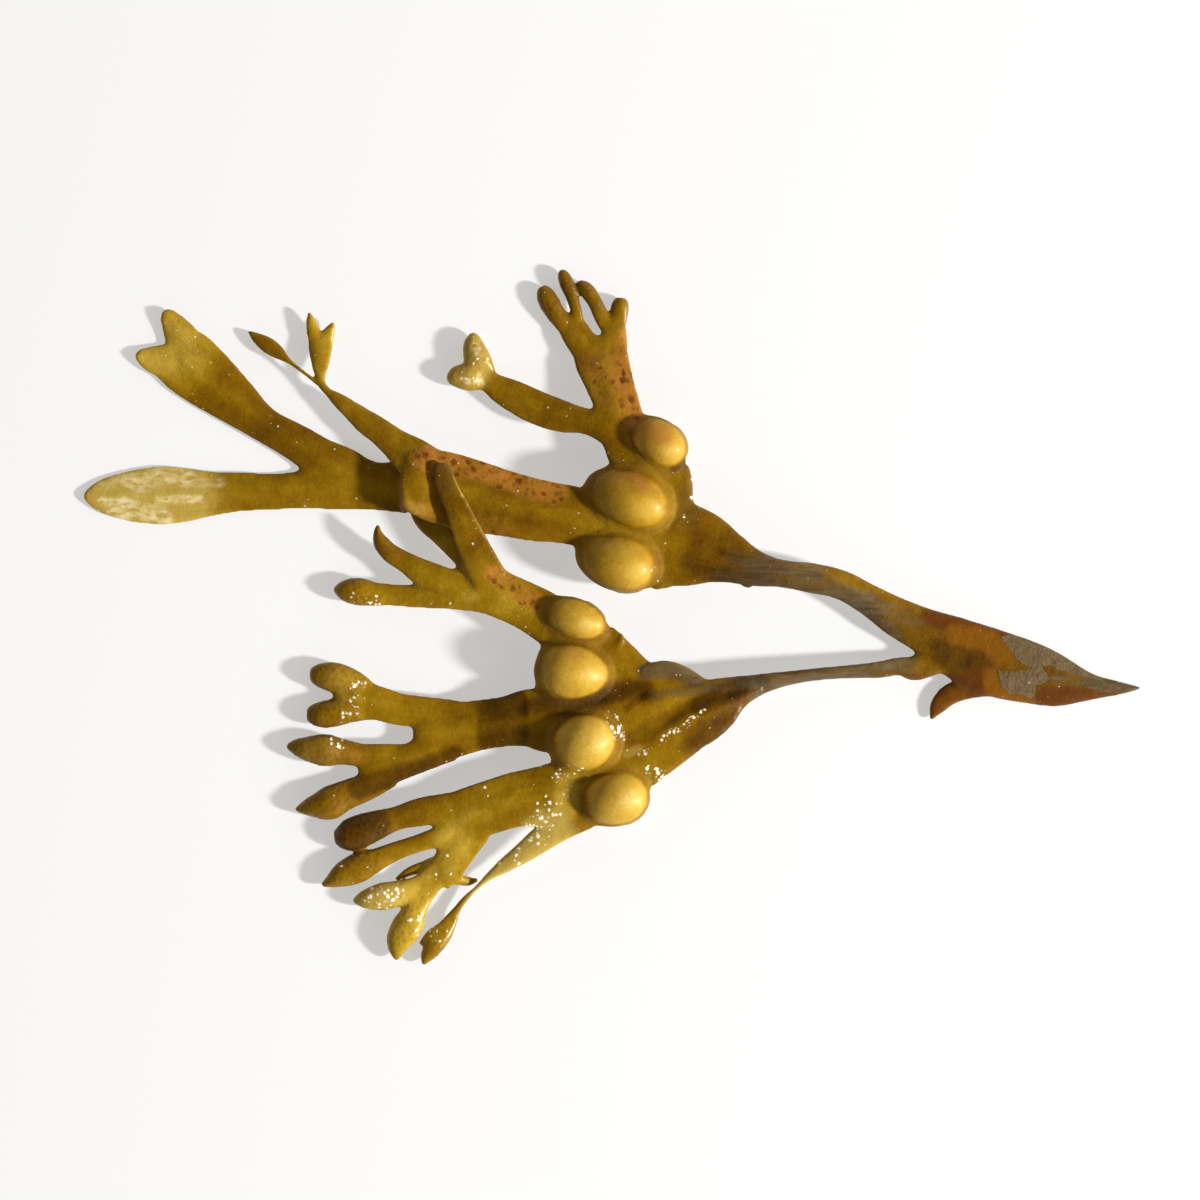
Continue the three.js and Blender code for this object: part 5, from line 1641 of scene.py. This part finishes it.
def skin_colour(tree):
    """The tints that every skin shares. Returns the colour, and the mask of specks and painted glints."""
    fibre = streaked(tree, FIBRE_LENGTH, FIBRE_WIDTH)
    spot = millimetres(tree)
    x, y, z = split(spot)
    edge = reckon("ABSOLUTE", vertex_tint(tree, "across")).ramp(0.75, 1.0)
    # Tone carries the painted shade and painted light of some daubs. Edges are made a little darker too, as
    # painted shade of their rounded rim.
    shade = vertex_tint(tree, "tone") + vertex_tint(tree, "rib") * 0.12 + fibre * 0.07 - edge * 0.05
    colour = use_group(tree, pigment, tone=shade - vertex_tint(tree, "wart") * 0.1, mottle=1.0)["Color"]
    # Pale: thin pale skin, and in a few daubs a painted highlight, a painted reflection and painted light.
    colour = mixed(colour, PALE_SKIN_AND_PAINTED_LIGHT, frayed(tree, "pale", 0.2, 1.0) * (fibre * 0.25 + 0.88))
    rusty = frayed(tree, "rust", 0.4, 1.2)
    colour = mixed(colour, RUST, rusty * (noise(spot, 2.0, 3.0) * 0.9 + 0.66))
    dark = use_group(tree, spots, share=rusty - 0.25, **RUST_SPOTS)["Mask"]
    blotch = noise(spot, 1.2, 3.0) * 1.7 + noise(spot, 5.0) * 0.6 - 0.15
    blotch = blotch.ramp(0.0, 0.8) * rusty.ramp(0.3, 0.8)
    colour = mixed(colour, RUST_SPOT, reckon("MAXIMUM", dark * 0.95, blotch * 0.7))
    colour = mixed(colour, RED_BARK, frayed(tree, "red", 0.3, 1.2))
    colour = mixed(colour, ORANGE_BARK, frayed(tree, "orange", 0.3, 1.2))
    # Grey: stems worn to a greyish tan, and in two daubs a painted sheen.
    wear_and_sheen = vertex_tint(tree, "grey")
    scratches = noise(joined(tree, x / 6, y / 0.55, z / 0.55), 1.0, 3.0)
    wear_and_sheen = (wear_and_sheen + scratches * 0.7 * wear_and_sheen.ramp(0.0, 0.5)).ramp(0.0, 0.9)
    rubbed = (scratches * 0.9 + vertex_tint(tree, "tone") * 1.6 - 0.12).ramp(0.0, 1.0)
    colour = mixed(colour, mixed(GREY_LINES, GREY_SKIN_AND_SHEEN, rubbed), wear_and_sheen)
    # Painted sheen: whitish highlight streaks of wet skin, mixed into the colour.
    painted_sheen_mask = vertex_tint(tree, "sheen")
    ripples = noise(joined(tree, x / 1.8, y / 0.8, z), 1.0, 3.0)
    painted_sheen_mask = (ripples * 1.4 + 0.5).ramp(0.0, 1.0) * painted_sheen_mask.ramp(0.0, 1.2)
    colour = mixed(colour, PAINTED_SHEEN_COLOUR, painted_sheen_mask)
    # Specks and drops: white dots in the colour, painted glints of wet skin with a few salt specks among
    # them.
    dry = 1 - vertex_tint(tree, "yellow").ramp(0.0, 0.5)
    wet_glint = vertex_tint(tree, "glint") + vertex_tint(tree, "tip") * 0.3
    speck_and_glint_share = (edge * 0.06 + 0.06) * dry + wet_glint * 0.3
    specks_and_glints = use_group(tree, spots, share=speck_and_glint_share, **SPECK_AND_GLINT_SPOTS)["Mask"]
    large = wet_glint.ramp(0.3, 1.0, 0.24, 0.4)
    glint_drops = use_group(tree, spots, share=(wet_glint - 0.25) * 0.8, size=large, **GLINT_DROP_SPOTS)["Mask"]
    return colour, reckon("MAXIMUM", specks_and_glints * 0.6, glint_drops)


def finish_skin(material, colour, specks_and_glints, pebble, dry, coat):
    """Plugs a skin's colour and relief into the material's own shader."""
    tree = material.node_tree
    shader = tree.nodes["Principled BSDF"]
    rough = use_group(tree, relief, pebble=pebble, dry=dry)
    # The white of specks and drops is a painted glint, mixed into the base colour.
    plug(mixed(colour, SALT_AND_GLINT_WHITE, specks_and_glints), shader.inputs["Base Color"])
    plug(rough["Roughness"] - specks_and_glints * SPECK_SMOOTHNESS, shader.inputs["Roughness"])
    height = rough["Height"] + specks_and_glints * SPECK_HEIGHT
    inputs = {"Height": height, "Strength": BUMP_STRENGTH, "Distance": MM}
    plug(made(tree, "ShaderNodeBump", inputs, "Normal"), shader.inputs["Normal"])
    plug(coat, shader.inputs["Coat Weight"])
    plug(COAT_ROUGHNESS, shader.inputs["Coat Roughness"])
    plug(SKIN_SPECULAR, shader.inputs["Specular IOR Level"])
    plug(WET_TINT, shader.inputs["Specular Tint"])


def new_skin(name):
    material = bpy.data.materials.get(name) or bpy.data.materials.new(name)
    material.use_nodes = True
    return material


print("skin helpers ready")

# %% Olive blades and the pale blade


def blade_skin(name, dry, coat):
    material = new_skin(name)
    colour, specks_and_glints = skin_colour(material.node_tree)
    finish_skin(material, colour, specks_and_glints, pebble=1.0, dry=dry, coat=coat)
    return material


olive_frond = blade_skin("olive_frond", dry=0.05, coat=0.1)
pale_frond = blade_skin("pale_frond", dry=0.0, coat=0.2)
print("blade skins:", olive_frond.name, pale_frond.name)

# %% [markdown]
# ### Bladders
# A bladder's wall is stretched thin over gas, so the pigment is spread out and the colour turns to a
# warm yellow, with a painted highlight at one spot. The wall is smooth and satin rather than wet, and
# the crease round it is dull.

# %% Stems with bladders
# The palest stops serve mostly the painted highlight.
BLADDER_YELLOW = [
    (0.0, (0.22, 0.11, 0.002)),
    (0.3, (0.36, 0.2, 0.007)),
    (0.55, (0.5, 0.315, 0.038)),
    (0.85, (0.68, 0.52, 0.17)),
]


def bladder_skin(name):
    material = new_skin(name)
    tree = material.node_tree
    colour, specks_and_glints = skin_colour(tree)
    spot = millimetres(tree)
    # Yellow of the stretched wall, with a painted highlight at one spot.
    yellow_and_highlight = vertex_tint(tree, "yellow")
    belly = frayed(tree, "yellow", 0.1, 1.0).ramp(0.0, 0.45)
    cloud = noise(spot, 5.0, 2.0) * 0.16 + noise(spot, 1.2, 3.0) * 0.14 + noise(spot, 0.4, 2.0) * 0.12
    warm = ramped(cloud + yellow_and_highlight, BLADDER_YELLOW)
    warm = mixed(warm, BLUSH, frayed(tree, "blush", 0.3, 1.0) * 0.8)
    colour = mixed(colour, warm, belly)
    wall = vertex_tint(tree, "collar")
    crease = wall * (1 - wall) * 4
    dry = belly * 0.35 + crease * 1.1
    coat = (0.1 - dry * 0.15).ramp(0.0, 0.1, 0.0, 0.1)
    finish_skin(material, colour, specks_and_glints, pebble=1 - belly * 0.5, dry=dry, coat=coat)
    return material


bladder_frond = bladder_skin("bladder_frond")
print("bladder skin:", bladder_frond.name)

# %% [markdown]
# ### Stipe
# The foot of the plant is bark-like: red-brown, olive in the middle, with ragged patches of grey crust.

# %% The stipe's skin
CRUST_COLOURS = [(0.0, (0.05, 0.031, 0.014)), (0.5, (0.112, 0.074, 0.036)), (1.0, (0.18, 0.13, 0.077))]


def bark_skin(name):
    material = new_skin(name)
    tree = material.node_tree
    colour, specks_and_glints = skin_colour(tree)
    spot = millimetres(tree)
    patch = frayed(tree, "crust", 0.3, 6.0)
    rim = frayed(tree, "crust", 0.3, 2.0) * (1 - patch)
    grains = noise(spot, 0.5, 4.0) * 0.35 + noise(spot, 1.6, 3.0) * 0.3 + 0.5
    colour = mixed(colour, OLIVES[0][1], rim * 0.8)
    colour = mixed(colour, ramped(grains, CRUST_COLOURS), patch)
    finish_skin(material, colour, specks_and_glints, pebble=patch * 1.5 + 1.2, dry=patch * 0.8 + 0.15, coat=0.1)
    return material


stipe_skin = bark_skin("stipe_skin")
print("stipe skin:", stipe_skin.name)

# %% [markdown]
# ## Every piece to its solid
# Each piece rides on the one body that the sprig is, and stands for the solid of the same name, whose
# own mesh is hidden. It takes one of the four skins from the script's own table, the olive one if none
# is listed for it.

# %% Ride, replace and finish
SKINS = {
    "stipe": stipe_skin,
    "upper_stem": bladder_frond,
    "lower_stem": bladder_frond,
    "thin_blade": pale_frond,
}

for node, piece in pieces.items():
    skin = SKINS.get(node, olive_frond)
    piece.data.materials.clear()
    piece.data.materials.append(skin)
    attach(piece, "root")
    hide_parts(node)
print("pieces dressed:", len(pieces))

# %% [markdown]
# ## Floor, light and camera
# The sprig lies on a plain pale floor. One key light stands low on the right, a little towards the
# bottom of the picture, as late sun does, so bladders and ribs are bright on their right side and throw
# shadows to the left. A pale sky fills those shadows. It is dim overhead, where wet skin would mirror
# it into the camera and lose its colour. The camera looks straight down through a long lens.

# %% The floor
FLOOR_SIZE = 3.0
FLOOR_DROP = 0.05 * MM
FLOOR_PAPER = {
    "Base Color": (0.46, 0.48, 0.53, 1),
    "Emission Color": (1, 1, 1, 1),
    "Emission Strength": 0.45,
    "Roughness": 0.9,
    "Specular IOR Level": 0.1,
}

mesh = bpy.data.meshes.new("floor")
half = FLOOR_SIZE / 2
corners = [(-half, -half), (half, -half), (half, half), (-half, half)]
mesh.from_pydata([(x, y, -FLOOR_DROP) for x, y in corners], [], [(0, 1, 2, 3)])
floor = add_object("floor", mesh)
paper = bpy.data.materials.new("floor_paper")
paper.use_nodes = True
for name, value in FLOOR_PAPER.items():
    plug(value, paper.node_tree.nodes["Principled BSDF"].inputs[name])
mesh.materials.append(paper)
print("floor:", FLOOR_SIZE, "m across")

# %% The lights
KEY_AZIMUTH = math.radians(-14)
KEY_HEIGHT = math.radians(27)
KEY_DISTANCE = 1.4
KEY_SIZE = 0.14
KEY_POWER = 36
KEY_COLOUR = (1.0, 0.96, 0.88)
SKY_COLOUR = (1.0, 0.9, 0.68, 1)
SKY_RISE = (0.45, 0.85)
SKY_WIDTH = (-0.8, 0.5)
FILL_LIGHT = 0.9
OVERHEAD = 0.06
FAR_SIDE = 0.55


key = add_object("key_light", bpy.data.lights.new("key_light", "AREA"))
key.data.shape = "DISK"
key.data.size = KEY_SIZE
key.data.energy = KEY_POWER
key.data.color = KEY_COLOUR
level = math.cos(KEY_HEIGHT) * KEY_DISTANCE
key.location = (
    level * math.cos(KEY_AZIMUTH),
    level * math.sin(KEY_AZIMUTH),
    math.sin(KEY_HEIGHT) * KEY_DISTANCE,
)
key.rotation_euler = (-key.location).to_track_quat("-Z", "Y").to_euler()
world = bpy.data.worlds.new("soft_sky")
world.use_nodes = True
sky = world.node_tree
side, _, height = split(made(sky, "ShaderNodeTexCoord", output="Generated"))
glow = height.ramp(*SKY_RISE, FILL_LIGHT, OVERHEAD) * side.ramp(*SKY_WIDTH, FAR_SIDE, 1.0)
plug(SKY_COLOUR, sky.nodes["Background"].inputs["Color"])
plug(glow, sky.nodes["Background"].inputs["Strength"])
bpy.context.scene.world = world
bpy.context.scene.view_settings.view_transform = "Standard"
print("lights:", key.name, "and", world.name)

# %% The camera
PICTURE_WIDTH = 192 * MM
PICTURE_CENTRE = (-1.92 * MM, 2.88 * MM)
CAMERA_HEIGHT = 1.3

camera = add_object("camera", bpy.data.cameras.new("camera"))
camera.location = (*PICTURE_CENTRE, CAMERA_HEIGHT)
camera.data.lens = camera.data.sensor_width * CAMERA_HEIGHT / PICTURE_WIDTH
bpy.context.scene.camera = camera
print("camera lens:", round(camera.data.lens), "mm")
